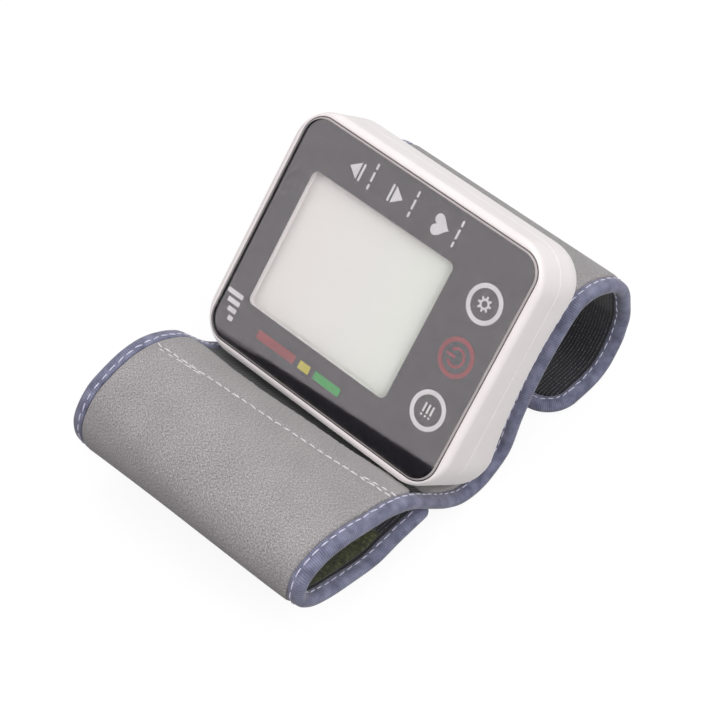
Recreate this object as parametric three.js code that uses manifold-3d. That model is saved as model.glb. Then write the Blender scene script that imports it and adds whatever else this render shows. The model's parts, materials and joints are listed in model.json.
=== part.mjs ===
// Wrist blood pressure monitor: an arched plastic case with a glossy touch panel, carried on a fabric
// wrist cuff that lies curled in two lobes on the table. Millimetres, +Z up.
// The case is drawn in its own frame: x and y along the panel, z out of it, zero on the panel's face.
import * as THREE from "three";
import { mergeVertices } from "three/addons/utils/BufferGeometryUtils.js";
import Module from "manifold-3d";

const wasm = await Module();
wasm.setup();

// Driving dimensions

const fit = 0.3; // clearance between pieces that seat on each other
const runningFit = 0.4; // clearance round a piece that turns or slides
const overrun = 2; // how far a cutter reaches past the face it opens
const restTiltDegrees = 44; // the panel leans back by this as the part lies on its cuff

const head = {
  width: 62,
  height: 74.7,
  cornerRadius: 10,
  wall: 1.6,
  rimDrop: 0.35, // the rim lies this far behind the panel's face
  rimFillet: 0.8,
  partingDepth: 8.5,
  partingGap: 0.3,
  backDepth: 22, // at the crown of the wrist arch
  archRadius: 80,
  archCentreX: 6,
};
const lens = { edgeRoom: 1.15, thickness: 1.5, chamfer: 0.5 };
const deck = { thickness: 1.2 };
const lip = { depth: 1.5, thickness: 0.7, root: 2 };
// The display's bracket keeps these distances from the case's outer walls.
const lcd = { sideRoom: 8.4, topRoom: 4.3, bottomRoom: 16.7, offCentre: 0.3, glass: 1.1, ledge: 3.2 };
const lcdFrame = { margin: 2, thickness: 1.5, rail: 3.4 };
const zebra = { endRoom: 4, width: 2.2 };
const pcb = { thickness: 1.2, edgeGap: 0.5 };
const chip = { size: 7, thickness: 1.1, sensorRoom: 1, trayRoom: 2.3 };
const key = { pitchShare: 0.22, edgeRoom: 10.75, holeRadius: 4.2, coilRadius: 3.1, wire: 0.5, turns: 3 };
const buzzer = { radius: 3, height: 2.4, soundHole: 0.8, valveRoom: 1, rise: 2.5 };
const sensor = { size: 7.5, height: 4.4, port: 1.2, sideRoom: 11.5, trayRoom: 0.8 };

const cell = { radius: 5.25, nubRadius: 1.9, nubHeight: 1, pitch: 10.9, z: -14.5, doorRoom: 1.9 };
const tray = { plate: 0.8, wall: 0.8, sideRoom: 5.6, setback: 1.3 };
const contact = { size: 8, thickness: 0.5, coilRadius: 3.2, wire: 0.6, turns: 2, springHeight: 3 };
const door = {
  sideRoom: 6.2,
  bottom: 20.1,
  groove: 0.5,
  grooves: 4,
  groovePitch: 1.2,
  grooveHalf: 7,
  tongue: 2.6,
  tongueWidth: 7,
};

const airZ = -13.9; // the pump, the manifold and the valve share this level
const pump = {
  yShare: -0.2477,
  length: 13,
  width: 15,
  height: 11.2,
  chamber: 4.4,
  chamberDepth: 8,
  outletRoom: 4.2, // from the motor's end to the outlet
};
const motor = { sideRoom: 7.5, radius: 7.6, length: 20, bore: 1.4, boreDepth: 5, bossRadius: 3, bossLength: 1.2 };
const shaft = { radius: 1, camRadius: 2.6, camThickness: 3, camOffset: 0.8, reach: 4 };
const valve = {
  sideRoom: 10,
  length: 11,
  width: 10,
  height: 11.6,
  bore: 1.9,
  stroke: 0.8,
  disc: 2.6,
  discThickness: 1,
};
const manifold = { yShare: -0.0335 };
const tee = { size: 5 };
const nozzle = { radius: 1, length: 2.4 };
const tube = { outer: 1.9, inner: 1.3, sides: 8 };
const nipple = { radius: 1.7, bore: 0.55, rise: 1.4 };

const boss = {
  radius: 2.2,
  lowerSideRoom: 6.5,
  lowerEndRoom: 6.35,
  upperSideRoom: 3.8,
  trayRoom: 0.75,
  seatDepth: 12,
  seat: 1.5,
};
const screw = { headRadius: 2.1, headHeight: 1.4, shankRadius: 0.9, length: 7, recess: 0.7 };
const well = { radius: 2.6, wall: 1 };

const plate = { leftRoom: 12, rightRoom: 10, endRoom: 10.35, thickness: 1.1 };
const tab = { sideRoom: 15, endRoom: 17.35, width: 6, thickness: 1.2, catch: 0.5, catchHeight: 0.6 };

const cuff = {
  width: 70,
  cornerRadius: 9,
  core: 0.15, // half the gap between the fleece's back and the lining's back at the bound edge
  stiffener: 0.4,
  bladder: 0.55,
  fleece: 1,
  lining: 0.45,
  flange: 0.5, // thickness of the fleece and of the lining where the binding holds them
  tape: 0.55,
  tapeFace: 3.4, // how far the binding reaches in over each face
  tapeShoulder: 0.6, // over this width the fleece rises to its full thickness
  coreEdge: 6.4, // the stiffener and the bladder stay this far inside the strap's outline
  coreShoulder: 0.4,
  steps: 52, // grid steps along the strap
};
const bladder = { startShare: 0.43, endShare: 0.96 };
const hookTape = { thickness: 0.6, sideMargin: 7, startShare: 0, endShare: 0.32, middleSteps: 4 };

// Where the strap runs, seen along the wrist. Near is the edge under the panel's lower end.
// Lobe points are shares of the lobe's length and height, from the case outwards.
const leftLobe = {
  length: 37,
  nearHeight: 26.5,
  farHeight: 34,
  nearShares: [
    [-0.05, 0.35], [0.18, 0.347], [0.365, 0.32], [0.573, 0.374], [0.776, 0.453], [0.908, 0.555], [0.97, 0.69],
    [0.927, 0.86], [0.776, 0.951], [0.613, 0.94], [0.395, 0.86], [0.208, 0.777],
  ],
  farShares: [
    [0.316, 0.19], [0.505, 0.18], [0.72, 0.21], [0.897, 0.31], [0.99, 0.48], [1.035, 0.656], [1.01, 0.794],
    [0.89, 0.93], [0.765, 0.976], [0.605, 1], [0.454, 0.974], [0.311, 0.89], [0.21, 0.794], [0.13, 0.66],
  ],
};
const side = { slack: 0.25, startDepth: 1, endDepth: 8 }; // the strap passes up beside the case between these depths
const bend = { slack: 0.2, turnShares: [0, 0.3, 0.6, 0.85] }; // then round its rounded edge
const underShares = [-0.62, -0.33, 0, 0.3, 0.55]; // shares of the case's half width
const rightLobe = {
  length: 28.2,
  height: 34.5,
  freeEndShare: 0.7016, // of the case's width, from its left edge along the table
  shares: [
    [0.433, 1], [0.635, 0.98], [0.897, 0.84], [0.99, 0.696], [1, 0.55], [0.99, 0.423], [0.947, 0.339],
    [0.894, 0.255], [0.823, 0.188], [0.72, 0.11], [0.61, 0.068],
  ],
  flatShares: [0.5, 0.36, 0.24, 0.12, 0],
};

// Materials

function plastic(color, roughness) {
  return new THREE.MeshStandardMaterial({ color, roughness, metalness: 0 });
}

function metal(color, roughness) {
  return new THREE.MeshStandardMaterial({ color, roughness, metalness: 1 });
}

const look = {
  shell: plastic(0xefe8e8, 0.4),
  panel: plastic(0x4c484b, 0.08),
  glass: plastic(0xdfe0da, 0.2),
  frame: plastic(0xe4e2dc, 0.6),
  board: plastic(0x2f5f3c, 0.5),
  black: plastic(0x1d1d20, 0.5),
  silicone: plastic(0xd9d8d2, 0.5),
  steel: metal(0xb9bcc0, 0.35),
  zinc: metal(0xa8abb0, 0.45),
  label: plastic(0x3a6ea5, 0.4),
  fleece: plastic(0xa5a2a0, 1),
  lining: plastic(0x1e1d22, 0.9),
  binding: plastic(0x8b8da5, 0.85),
  bladder: plastic(0x55585e, 0.6),
  sheet: plastic(0xcfcfca, 0.5),
  hook: plastic(0x3f4032, 0.95),
};

// Solids and booleans

function solid(geometry) {
  const bare = geometry.clone();
  bare.deleteAttribute("normal");
  bare.deleteAttribute("uv");
  const merged = mergeVertices(bare, 1e-4);
  return new wasm.Manifold(
    new wasm.Mesh({
      numProp: 3,
      vertProperties: new Float32Array(merged.attributes.position.array),
      triVerts: new Uint32Array(merged.index.array),
    }),
  );
}

function geometryOf(body) {
  const mesh = body.getMesh();
  const geometry = new THREE.BufferGeometry();
  geometry.setAttribute("position", new THREE.BufferAttribute(mesh.vertProperties, 3));
  geometry.setIndex(new THREE.BufferAttribute(mesh.triVerts, 1));
  geometry.computeVertexNormals();
  return geometry;
}

function join(...bodies) {
  return bodies.reduce((sum, body) => sum.add(body));
}

function cut(body, ...cutters) {
  return cutters.reduce((rest, cutter) => rest.subtract(cutter), body);
}

function block(x0, x1, y0, y1, z0, z1) {
  const box = new THREE.BoxGeometry(x1 - x0, y1 - y0, z1 - z0);
  return solid(box.translate((x0 + x1) / 2, (y0 + y1) / 2, (z0 + z1) / 2));
}

// A block given by its middle in x and y and its sizes there.
function blockAt(x, y, sizeX, sizeY, z0, z1) {
  return block(x - sizeX / 2, x + sizeX / 2, y - sizeY / 2, y + sizeY / 2, z0, z1);
}

// Round bars along z, x and y between two ends.
function post(x, y, radius, z0, z1, sides = 16) {
  const bar = new THREE.CylinderGeometry(radius, radius, z1 - z0, sides);
  return solid(bar.rotateX(Math.PI / 2).translate(x, y, (z0 + z1) / 2));
}

function barX(x0, x1, y, z, radius, sides = 16) {
  const bar = new THREE.CylinderGeometry(radius, radius, x1 - x0, sides);
  return solid(bar.rotateZ(Math.PI / 2).translate((x0 + x1) / 2, y, z));
}

function barY(y0, y1, x, z, radius, sides = 16) {
  return solid(new THREE.CylinderGeometry(radius, radius, y1 - y0, sides).translate(x, (y0 + y1) / 2, z));
}

function roundedRectangle(width, height, radius) {
  const shape = new THREE.Shape();
  const x = width / 2 - radius;
  const y = height / 2 - radius;
  shape.absarc(x, y, radius, 0, Math.PI / 2);
  shape.absarc(-x, y, radius, Math.PI / 2, Math.PI);
  shape.absarc(-x, -y, radius, Math.PI, 1.5 * Math.PI);
  shape.absarc(x, -y, radius, 1.5 * Math.PI, 2 * Math.PI);
  return shape;
}

const cornerSegments = 3;
const archSteps = 6;

// A plate with round corners from z0 to z1.
function roundedPlate(width, height, radius, z0, z1) {
  const options = { depth: z1 - z0, bevelEnabled: false, curveSegments: cornerSegments };
  return solid(new THREE.ExtrudeGeometry(roundedRectangle(width, height, radius), options).translate(0, 0, z0));
}

// The same plate with its front edge rounded or chamfered by `edge`.
function easedPlate(width, height, radius, z0, z1, edge, bevelSegments) {
  const shape = roundedRectangle(width - 2 * edge, height - 2 * edge, radius - edge);
  const options = {
    depth: z1 - z0, bevelEnabled: true, bevelSize: edge, bevelThickness: edge, bevelSegments,
    curveSegments: cornerSegments,
  };
  const eased = solid(new THREE.ExtrudeGeometry(shape, options).translate(0, 0, z0 - edge));
  return cut(eased, block(-width, width, -height, height, z0 - 2 * edge - overrun, z0));
}

// A tube along a curve, with a bore.
function tubeAlong(points, steps) {
  const section = new THREE.Shape();
  section.absarc(0, 0, tube.outer, 0, 2 * Math.PI);
  const bore = new THREE.Path();
  bore.absarc(0, 0, tube.inner, 0, 2 * Math.PI, true);
  section.holes.push(bore);
  const path = new THREE.CatmullRomCurve3(points.map((p) => new THREE.Vector3(...p)), false, "centripetal");
  const options = { steps, extrudePath: path, bevelEnabled: false, curveSegments: tube.sides / 2 };
  return new THREE.ExtrudeGeometry(section, options);
}

class Helix extends THREE.Curve {
  constructor(radius0, radius1, wire, height, turns) {
    super();
    Object.assign(this, { radius0, radius1, wire, height, turns });
  }
  getPoint(t, target = new THREE.Vector3()) {
    const radius = THREE.MathUtils.lerp(this.radius0, this.radius1, t);
    const angle = 2 * Math.PI * this.turns * t;
    const rise = this.wire / 2 + (this.height - this.wire) * t;
    return target.set(radius * Math.cos(angle), radius * Math.sin(angle), rise);
  }
}

// A coil spring about +Z from zero to `height`, narrowing from one radius to the other.
function coil(radius0, radius1, wire, height, turns) {
  const section = new THREE.Shape();
  section.absarc(0, 0, wire / 2, 0, 2 * Math.PI);
  const extrudePath = new Helix(radius0, radius1, wire, height, turns);
  return new THREE.ExtrudeGeometry(section, { steps: 7 * turns, extrudePath, bevelEnabled: false, curveSegments: 2 });
}

const monitor = new THREE.Group();
const strap = new THREE.Group();

function place(group, name, shape, material) {
  const geometry = shape.isBufferGeometry ? shape : geometryOf(shape);
  const mesh = new THREE.Mesh(geometry, material);
  mesh.name = name;
  group.add(mesh);
  return mesh;
}

// Levels and places inside the case

const halfCase = { x: head.width / 2, y: head.height / 2 };
const lensSize = {
  width: head.width - 2 * lens.edgeRoom,
  height: head.height - 2 * lens.edgeRoom,
  cornerRadius: head.cornerRadius - lens.edgeRoom,
};
const recessFloor = -(lens.thickness + fit);
const deckBack = recessFloor - deck.thickness;
const lcdFront = recessFloor - fit;
const lcdBack = lcdFront - 2 * lcd.glass;
const frameFront = lcdBack - fit;
const frameBack = frameFront - lcdFrame.thickness;
const pcbFront = frameBack - fit;
const pcbBack = pcbFront - pcb.thickness;
const onBoard = pcbBack - fit;
const rearFront = -head.partingDepth - head.partingGap;
const deepBelow = -2 * head.backDepth;

const lcdX = -lcd.offCentre;
const lcdY = (lcd.bottomRoom - lcd.topRoom) / 2;
const bracket = {
  width: head.width - 2 * lcd.sideRoom,
  height: head.height - lcd.bottomRoom - lcd.topRoom,
};
const lcdOuter = { width: bracket.width - 2 * lcdFrame.margin, height: bracket.height - 2 * lcdFrame.margin };
const lcdUpper = { width: lcdOuter.width - lcd.ledge, height: lcdOuter.height - lcd.ledge };

const cellOuterY = halfCase.y - head.wall - cell.doorRoom - cell.radius;
const cellPlaces = [cellOuterY, cellOuterY - cell.pitch];
const trayHalf = halfCase.x - tray.sideRoom;
const trayInner = cellOuterY - cell.pitch - cell.radius - fit - tray.wall;

const pumpY = head.height * pump.yShare;
const motorX1 = halfCase.x - motor.sideRoom;
const motorX0 = motorX1 - motor.length;
const pumpX1 = motorX0 - fit;
const pumpX0 = pumpX1 - pump.length;
const manifoldX = pumpX1 - pump.outletRoom;
const manifoldY = head.height * manifold.yShare;
const valveX1 = halfCase.x - valve.sideRoom;
const valveX0 = valveX1 - valve.length;
const valveX = (valveX0 + valveX1) / 2;

const sensorX = sensor.sideRoom - halfCase.x;
const sensorY = trayInner - sensor.trayRoom - sensor.size / 2;
const chipX = sensorX + sensor.size / 2 + chip.sensorRoom + chip.size / 2;
const chipY = trayInner - chip.trayRoom - chip.size / 2;
const buzzerX = valveX0 - buzzer.valveRoom - buzzer.radius;
const buzzerY = manifoldY + buzzer.rise;

const bossEnd = -(boss.seatDepth - fit);
const lowerBoss = { x: halfCase.x - boss.lowerSideRoom, y: boss.lowerEndRoom - halfCase.y };
const upperBoss = {
  x: halfCase.x - boss.upperSideRoom,
  y: trayInner - boss.trayRoom - well.radius - well.wall,
};
const bossPlaces = [lowerBoss, upperBoss].flatMap(({ x, y }) => [[-x, y], [x, y]]);
const keyPlaces = [-1, 0, 1].map((i) => [i * key.pitchShare * head.width, key.edgeRoom - halfCase.y]);
const plateEnds = { left: plate.leftRoom - halfCase.x, right: halfCase.x - plate.rightRoom };
const plateHalf = halfCase.y - plate.endRoom;
const tabX = halfCase.x - tab.sideRoom;
const tabY = halfCase.y - tab.endRoom;
const tabPlaces = [[-tabX, -tabY], [tabX, -tabY], [-tabX, tabY], [tabX, tabY]];

// The case

// Depth of the case's back behind the panel: a shallow arch over the wrist, level at the rounded edges.
function backAt(x) {
  const flat = halfCase.x - head.cornerRadius;
  const across = THREE.MathUtils.clamp(x, -flat, flat) - head.archCentreX;
  return head.backDepth + head.archRadius - Math.sqrt(head.archRadius ** 2 - across ** 2);
}

// Grid places from -half to half: a few steps round each corner, then even steps along the flat.
function gridPlaces(half, radius, flatSteps) {
  const ends = [];
  for (let i = 0; i < cornerSegments; i++) {
    ends.push(half - radius + radius * Math.tan((Math.PI / 4) * (1 - i / cornerSegments)));
  }
  const flats = [];
  for (let i = 0; i <= flatSteps; i++) {
    flats.push((half - radius) * ((2 * i) / flatSteps - 1));
  }
  return [...ends.map((e) => -e), ...flats, ...ends.reverse()];
}

// The outer form of the case set in by `inset`, open to `front`, its back edges rounded and its back arched.
function caseForm(inset, front) {
  const halfX = halfCase.x - inset;
  const halfY = halfCase.y - inset;
  const radius = head.cornerRadius - inset;
  const roundStart = inset - head.backDepth + radius;
  const roundPlaces = gridPlaces(radius, radius, 1).slice(0, cornerSegments).map((z) => roundStart + z);
  const grid = [gridPlaces(halfX, radius, archSteps), gridPlaces(halfY, radius, 1), [...roundPlaces, roundStart, front]];
  const [nx, ny, nz] = grid.map((places) => places.length - 1);
  const form = new THREE.BoxGeometry(nx, ny, nz, nx, ny, nz).translate(nx / 2, ny / 2, nz / 2);
  const low = new THREE.Vector3(radius - halfX, radius - halfY, roundStart);
  const high = new THREE.Vector3(halfX - radius, halfY - radius, front);
  const sideLength = -head.partingDepth - roundStart;
  return solid(moveVertices(form, (...place) => {
    const point = new THREE.Vector3(...place.map((index, axis) => grid[axis][Math.round(index)]));
    const core = point.clone().clamp(low, high);
    point.sub(core);
    const reach = Math.max(Math.abs(point.x), Math.abs(point.y), Math.abs(point.z));
    if (reach > 0) point.setLength(reach);
    point.add(core);
    const share = THREE.MathUtils.clamp((-head.partingDepth - point.z) / sideLength, 0, 1);
    point.z -= share * (backAt(point.x) - head.backDepth);
    return point;
  }));
}

function moveVertices(geometry, target) {
  const position = geometry.attributes.position;
  for (let i = 0; i < position.count; i++) {
    const moved = target(position.getX(i), position.getY(i), position.getZ(i));
    position.setXYZ(i, moved.x, moved.y, moved.z);
  }
  return geometry;
}

// A plate of the case's outline set in by `inset`.
function caseSlice(inset, z0, z1) {
  return roundedPlate(head.width - 2 * inset, head.height - 2 * inset, head.cornerRadius - inset, z0, z1);
}

// The space of the battery door in the case's upper wall.
function doorway(margin) {
  const half = halfCase.x - door.sideRoom + margin;
  const inner = halfCase.y - head.cornerRadius - margin;
  return block(-half, half, inner, head.height, -door.bottom - margin, recessFloor);
}

// The lip that centres the rear housing, and the screw bosses.
function frontInner() {
  const back = -head.partingDepth;
  const lipOuter = head.wall + fit;
  const lipInner = lipOuter + lip.thickness;
  const core = caseSlice(lipInner, back - overrun, deckBack);
  const lipRoot = cut(caseSlice(head.wall / 2, back, back + lip.root), core);
  const belowBack = cut(doorway(lip.thickness), caseSlice(0, back, 0));
  const lipRing = cut(caseSlice(lipOuter, back - lip.depth, back + lip.root), core, belowBack);
  const posts = bossPlaces.map(([x, y]) => post(x, y, boss.radius, bossEnd, deckBack + deck.thickness / 2, 12));
  const limit = join(caseSlice(lipOuter, bossEnd - overrun, back + lip.root), caseSlice(head.wall / 2, back, 0));
  return join(lipRoot, lipRing, ...posts).intersect(limit);
}

function frontHousing() {
  const back = -head.partingDepth;
  const shell = easedPlate(
    head.width, head.height, head.cornerRadius, back, -head.rimDrop, head.rimFillet, 2,
  );
  const lensSeat = roundedPlate(
    lensSize.width + 2 * fit, lensSize.height + 2 * fit, lensSize.cornerRadius + fit, recessFloor, overrun,
  );
  const room = caseSlice(head.wall, back - overrun, deckBack);
  const window = blockAt(
    lcdX, lcdY, lcdOuter.width + 2 * fit, lcdOuter.height + 2 * fit, deckBack - overrun, recessFloor + overrun,
  );
  const keyHoles = keyPlaces.map(([x, y]) => post(x, y, key.holeRadius, deckBack - overrun, recessFloor + overrun));
  const pilots = bossPlaces.map(([x, y]) => post(x, y, screw.shankRadius + fit / 2, bossEnd - overrun, deckBack, 8));
  return cut(join(cut(shell, lensSeat, room, window, ...keyHoles), frontInner()), ...pilots);
}

// The hole for a snap tab, wide enough for its catch, which points away from the middle.
function tabSlot(x, y) {
  const outward = Math.sign(x) * (tab.catch / 2);
  const width = tab.thickness + tab.catch + 2 * fit;
  return blockAt(x + outward, y, width, tab.width + 2 * fit, deepBelow, -backAt(x) + head.wall + overrun);
}

function rearHousing() {
  const form = caseForm(0, rearFront);
  const shell = cut(form, caseForm(head.wall, rearFront + overrun));
  const towers = bossPlaces.map(([x, y]) =>
    post(x, y, well.radius + well.wall, deepBelow, -boss.seatDepth, 12).intersect(form));
  const wells = bossPlaces.map(([x, y]) => post(x, y, well.radius, deepBelow, -boss.seatDepth - boss.seat, 12));
  const holes = bossPlaces.map(([x, y]) => post(x, y, screw.shankRadius + fit, deepBelow, 0, 8));
  const slots = tabPlaces.map(([x, y]) => tabSlot(x, y));
  const nippleHole = post(manifoldX, manifoldY, nipple.radius + fit, deepBelow, -head.partingDepth);
  return cut(join(shell, ...towers), ...wells, ...holes, ...slots, doorway(fit), nippleHole);
}

function frontLens() {
  const { width, height, cornerRadius } = lensSize;
  return easedPlate(width, height, cornerRadius, -lens.thickness, 0, lens.chamfer, 1);
}

function batteryDoor() {
  const skin = cut(caseForm(0, rearFront), caseForm(head.wall, rearFront + overrun));
  const faceY = halfCase.y;
  const grooves = Array.from({ length: door.grooves }, (_, i) => {
    const z = rearFront - (i + 1) * door.groovePitch;
    return block(-door.grooveHalf, door.grooveHalf, faceY - door.groove, faceY + overrun, z - door.groove, z);
  });
  const tongueTop = rearFront - head.wall / 2;
  const tongues = [-1, 1].map((end) => {
    const x = end * tabX;
    const inner = faceY - head.wall - door.tongue;
    return block(
      x - door.tongueWidth / 2, x + door.tongueWidth / 2, inner, faceY - head.wall / 2,
      tongueTop - head.wall / 2, tongueTop,
    );
  });
  return cut(join(skin.intersect(doorway(0)), ...tongues), ...grooves);
}

function caseScrew() {
  const { headRadius, headHeight, shankRadius, length, recess } = screw;
  const body = join(post(0, 0, headRadius, -headHeight, 0, 12), post(0, 0, shankRadius, -headHeight / 2, length, 8));
  const slotTop = recess - headHeight;
  const slot = blockAt(0, 0, 2 * shankRadius, recess / 2, -headHeight - overrun, slotTop);
  return cut(body, slot, blockAt(0, 0, recess / 2, 2 * shankRadius, -headHeight - overrun, slotTop));
}

function placeCase() {
  place(monitor, "front_housing", frontHousing(), look.shell);
  place(monitor, "rear_housing", rearHousing(), look.shell);
  place(monitor, "front_lens", frontLens(), look.panel);
  place(monitor, "battery_door", batteryDoor(), look.shell);
  bossPlaces.forEach(([x, y], i) => {
    const piece = place(monitor, `case_screw_${i + 1}`, caseScrew(), look.steel);
    piece.position.set(x, y, -boss.seatDepth - boss.seat - fit);
  });
}

// The display, the board and the touch keys

function lcdModule() {
  const { width, height } = lcdUpper;
  const upper = blockAt(lcdX, lcdY, width, height, lcdBack + lcd.glass / 2, lcdFront);
  return join(upper, blockAt(lcdX, lcdY, lcdOuter.width, lcdOuter.height, lcdBack, lcdFront - lcd.glass));
}

function lcdBracket() {
  const rails = 2 * lcdFrame.rail;
  const body = blockAt(lcdX, lcdY, bracket.width, bracket.height, frameBack, frameFront);
  return cut(body, blockAt(lcdX, lcdY, bracket.width - rails, bracket.height - rails, frameBack - overrun, 0));
}

function zebraStrip() {
  const y = lcdY - bracket.height / 2 + lcdFrame.rail + fit + zebra.width / 2;
  const length = lcdUpper.width - 2 * zebra.endRoom;
  return blockAt(lcdX, y, length, zebra.width, frameBack, frameFront);
}

function mainBoard() {
  const inset = head.wall + fit + lip.thickness + pcb.edgeGap;
  const notches = bossPlaces.map(([x, y]) => post(x, y, boss.radius + pcb.edgeGap, pcbBack - overrun, 0, 12));
  return cut(caseSlice(inset, pcbBack, pcbFront), ...notches);
}

function placeDisplay() {
  place(monitor, "lcd_module", lcdModule(), look.glass);
  place(monitor, "lcd_frame", lcdBracket(), look.frame);
  place(monitor, "zebra_strip", zebraStrip(), look.black);
  place(monitor, "main_pcb", mainBoard(), look.board);
  const chipBody = blockAt(chipX, chipY, chip.size, chip.size, onBoard - chip.thickness, onBoard);
  place(monitor, "controller_chip", chipBody, look.black);
  const springHeight = recessFloor - pcbFront - 2 * fit;
  keyPlaces.forEach(([x, y], i) => {
    const spring = coil(key.coilRadius, key.coilRadius, key.wire, springHeight, key.turns);
    place(monitor, `touch_spring_${i + 1}`, spring, look.steel).position.set(x, y, pcbFront + fit);
  });
  const can = post(buzzerX, buzzerY, buzzer.radius, onBoard - buzzer.height, onBoard, 20);
  const soundHole = post(buzzerX, buzzerY, buzzer.soundHole, deepBelow, onBoard - buzzer.height / 2, 10);
  place(monitor, "buzzer", cut(can, soundHole), look.black);
}

// Power

const wallFace = trayHalf - tray.wall - fit;
const nubEnd = wallFace - contact.thickness - fit;
const cellLength = nubEnd + wallFace - contact.springHeight - fit;

function batteryTray() {
  const roof = cell.z + cell.radius + fit;
  const top = roof + tray.plate;
  const skirt = cell.z - cell.radius / 2;
  const endWall = block(-trayHalf, trayHalf, trayInner, trayInner + tray.wall, skirt, top);
  const sideWalls = [-1, 1].map((end) => {
    const x = end * (trayHalf - tray.wall / 2);
    return blockAt(x, (trayInner + cellOuterY) / 2, tray.wall, cellOuterY - trayInner, skirt, top);
  });
  const outerY = cellOuterY + cell.radius - tray.setback;
  return join(block(-trayHalf, trayHalf, trayInner, outerY, roof, top), endWall, ...sideWalls);
}

function batteryCell() {
  const { radius, nubRadius, nubHeight } = cell;
  const length = cellLength;
  const edge = nubHeight / 2;
  const profile = [
    [0, 0], [radius - edge, 0], [radius, edge], [radius, length - nubHeight - edge],
    [radius - edge, length - nubHeight], [nubRadius, length - nubHeight], [nubRadius, length], [0, length],
  ];
  return new THREE.LatheGeometry(profile.map(([r, y]) => new THREE.Vector2(r, y)), 16);
}

function placePower() {
  place(monitor, "battery_tray", batteryTray(), look.frame);
  cellPlaces.forEach((y, i) => {
    const end = i === 0 ? 1 : -1; // the two cells lie head to tail
    const body = place(monitor, `aaa_cell_${i + 1}`, batteryCell(), look.label);
    body.rotation.z = -end * (Math.PI / 2);
    body.position.set(end * (nubEnd - cellLength), y, cell.z);
    const flat = new THREE.BoxGeometry(contact.thickness, contact.size, contact.size);
    const flatX = end * (wallFace - contact.thickness / 2);
    place(monitor, `contact_plate_${i + 1}`, flat, look.zinc).position.set(flatX, y, cell.z);
    const turns = coil(contact.coilRadius, contact.coilRadius / 2, contact.wire, contact.springHeight, contact.turns);
    const spring = place(monitor, `contact_spring_${i + 1}`, turns, look.steel);
    spring.rotation.y = end * (Math.PI / 2);
    spring.position.set(-end * wallFace, y, cell.z);
  });
}

// Air

function pressureSensor() {
  const { size, height, port } = sensor;
  const body = blockAt(sensorX, sensorY, size, size, onBoard - height, onBoard);
  return join(body, barY(sensorY - size / 2 - port, sensorY, sensorX, onBoard - height / 2, nozzle.radius, 12));
}

function pumpHead() {
  const top = airZ + pump.height / 2;
  const body = blockAt((pumpX0 + pumpX1) / 2, pumpY, pump.length, pump.width, airZ - pump.height / 2, top);
  const outlet = barY(pumpY, pumpY + pump.width / 2 + nozzle.length, manifoldX, airZ, nozzle.radius, 12);
  const chamber = barX(pumpX1 - pump.chamberDepth, pumpX1 + overrun, pumpY, airZ, pump.chamber, 20);
  return cut(join(body, outlet), chamber);
}

function pumpMotor() {
  const can = barX(motorX0, motorX1, pumpY, airZ, motor.radius, 24);
  const flats = blockAt(
    manifoldX, pumpY, 2 * head.width, pump.width + overrun, airZ - pump.height / 2, airZ + pump.height / 2,
  );
  const rearBoss = barX(motorX1 - motor.bossRadius, motorX1 + motor.bossLength, pumpY, airZ, motor.bossRadius);
  return cut(join(can.intersect(flats), rearBoss), barX(pumpX0, motorX0 + motor.boreDepth, pumpY, airZ, motor.bore));
}

function pumpShaft() {
  const camX = pumpX1 - pump.chamberDepth / 2;
  const half = shaft.camThickness / 2;
  const rod = barX(camX - half - shaft.radius, motorX0 + shaft.reach, pumpY, airZ, shaft.radius, 12);
  return join(rod, barX(camX - half, camX + half, pumpY, airZ + shaft.camOffset, shaft.camRadius, 20));
}

function valveBody() {
  const body = blockAt(valveX, manifoldY, valve.length, valve.width, airZ - valve.height / 2, airZ + valve.height / 2);
  const inlet = barX(valveX0 - nozzle.length, valveX, manifoldY, airZ, nozzle.radius, 12);
  return cut(join(body, inlet), barX(valveX, valveX1 + overrun, manifoldY, airZ, valve.bore));
}

function valvePlunger() {
  const discX = valveX1 + valve.stroke + runningFit;
  const rod = barX(valveX + valve.stroke + fit, discX, manifoldY, airZ, valve.bore - runningFit);
  return join(rod, barX(discX - fit / 2, discX + valve.discThickness, manifoldY, airZ, valve.disc));
}

function airTee() {
  const half = tee.size / 2;
  const reach = half + nozzle.length;
  const [x, y, z] = [manifoldX, manifoldY, airZ];
  const body = blockAt(x, y, tee.size, tee.size, z - half, z + half);
  return join(
    body, barX(x - reach, x + reach, y, z, nozzle.radius, 12), barY(y - reach, y, x, z, nozzle.radius, 12),
    post(x, y, nozzle.radius, z - reach, z, 12),
  );
}

const stemTop = -(backAt(manifoldX) - head.wall);

// The route of the sensor's tube, from its port round into the manifold.
function sensorRoute() {
  const turn = 2 * tube.outer;
  const portY = sensorY - sensor.size / 2 - fit;
  const portZ = onBoard - sensor.height / 2;
  const fall = portZ - airZ;
  const endX = manifoldX - tee.size / 2 - fit;
  const lowY = portY - 1.2 * turn;
  return [
    [sensorX, portY, portZ], [sensorX, portY - turn / 2, portZ - fall / 12],
    [sensorX + turn / 3, lowY, portZ - fall / 3], [sensorX + turn, (lowY + manifoldY) / 2, airZ + fall / 3],
    [endX - turn, manifoldY, airZ], [endX, manifoldY, airZ],
  ];
}

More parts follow.
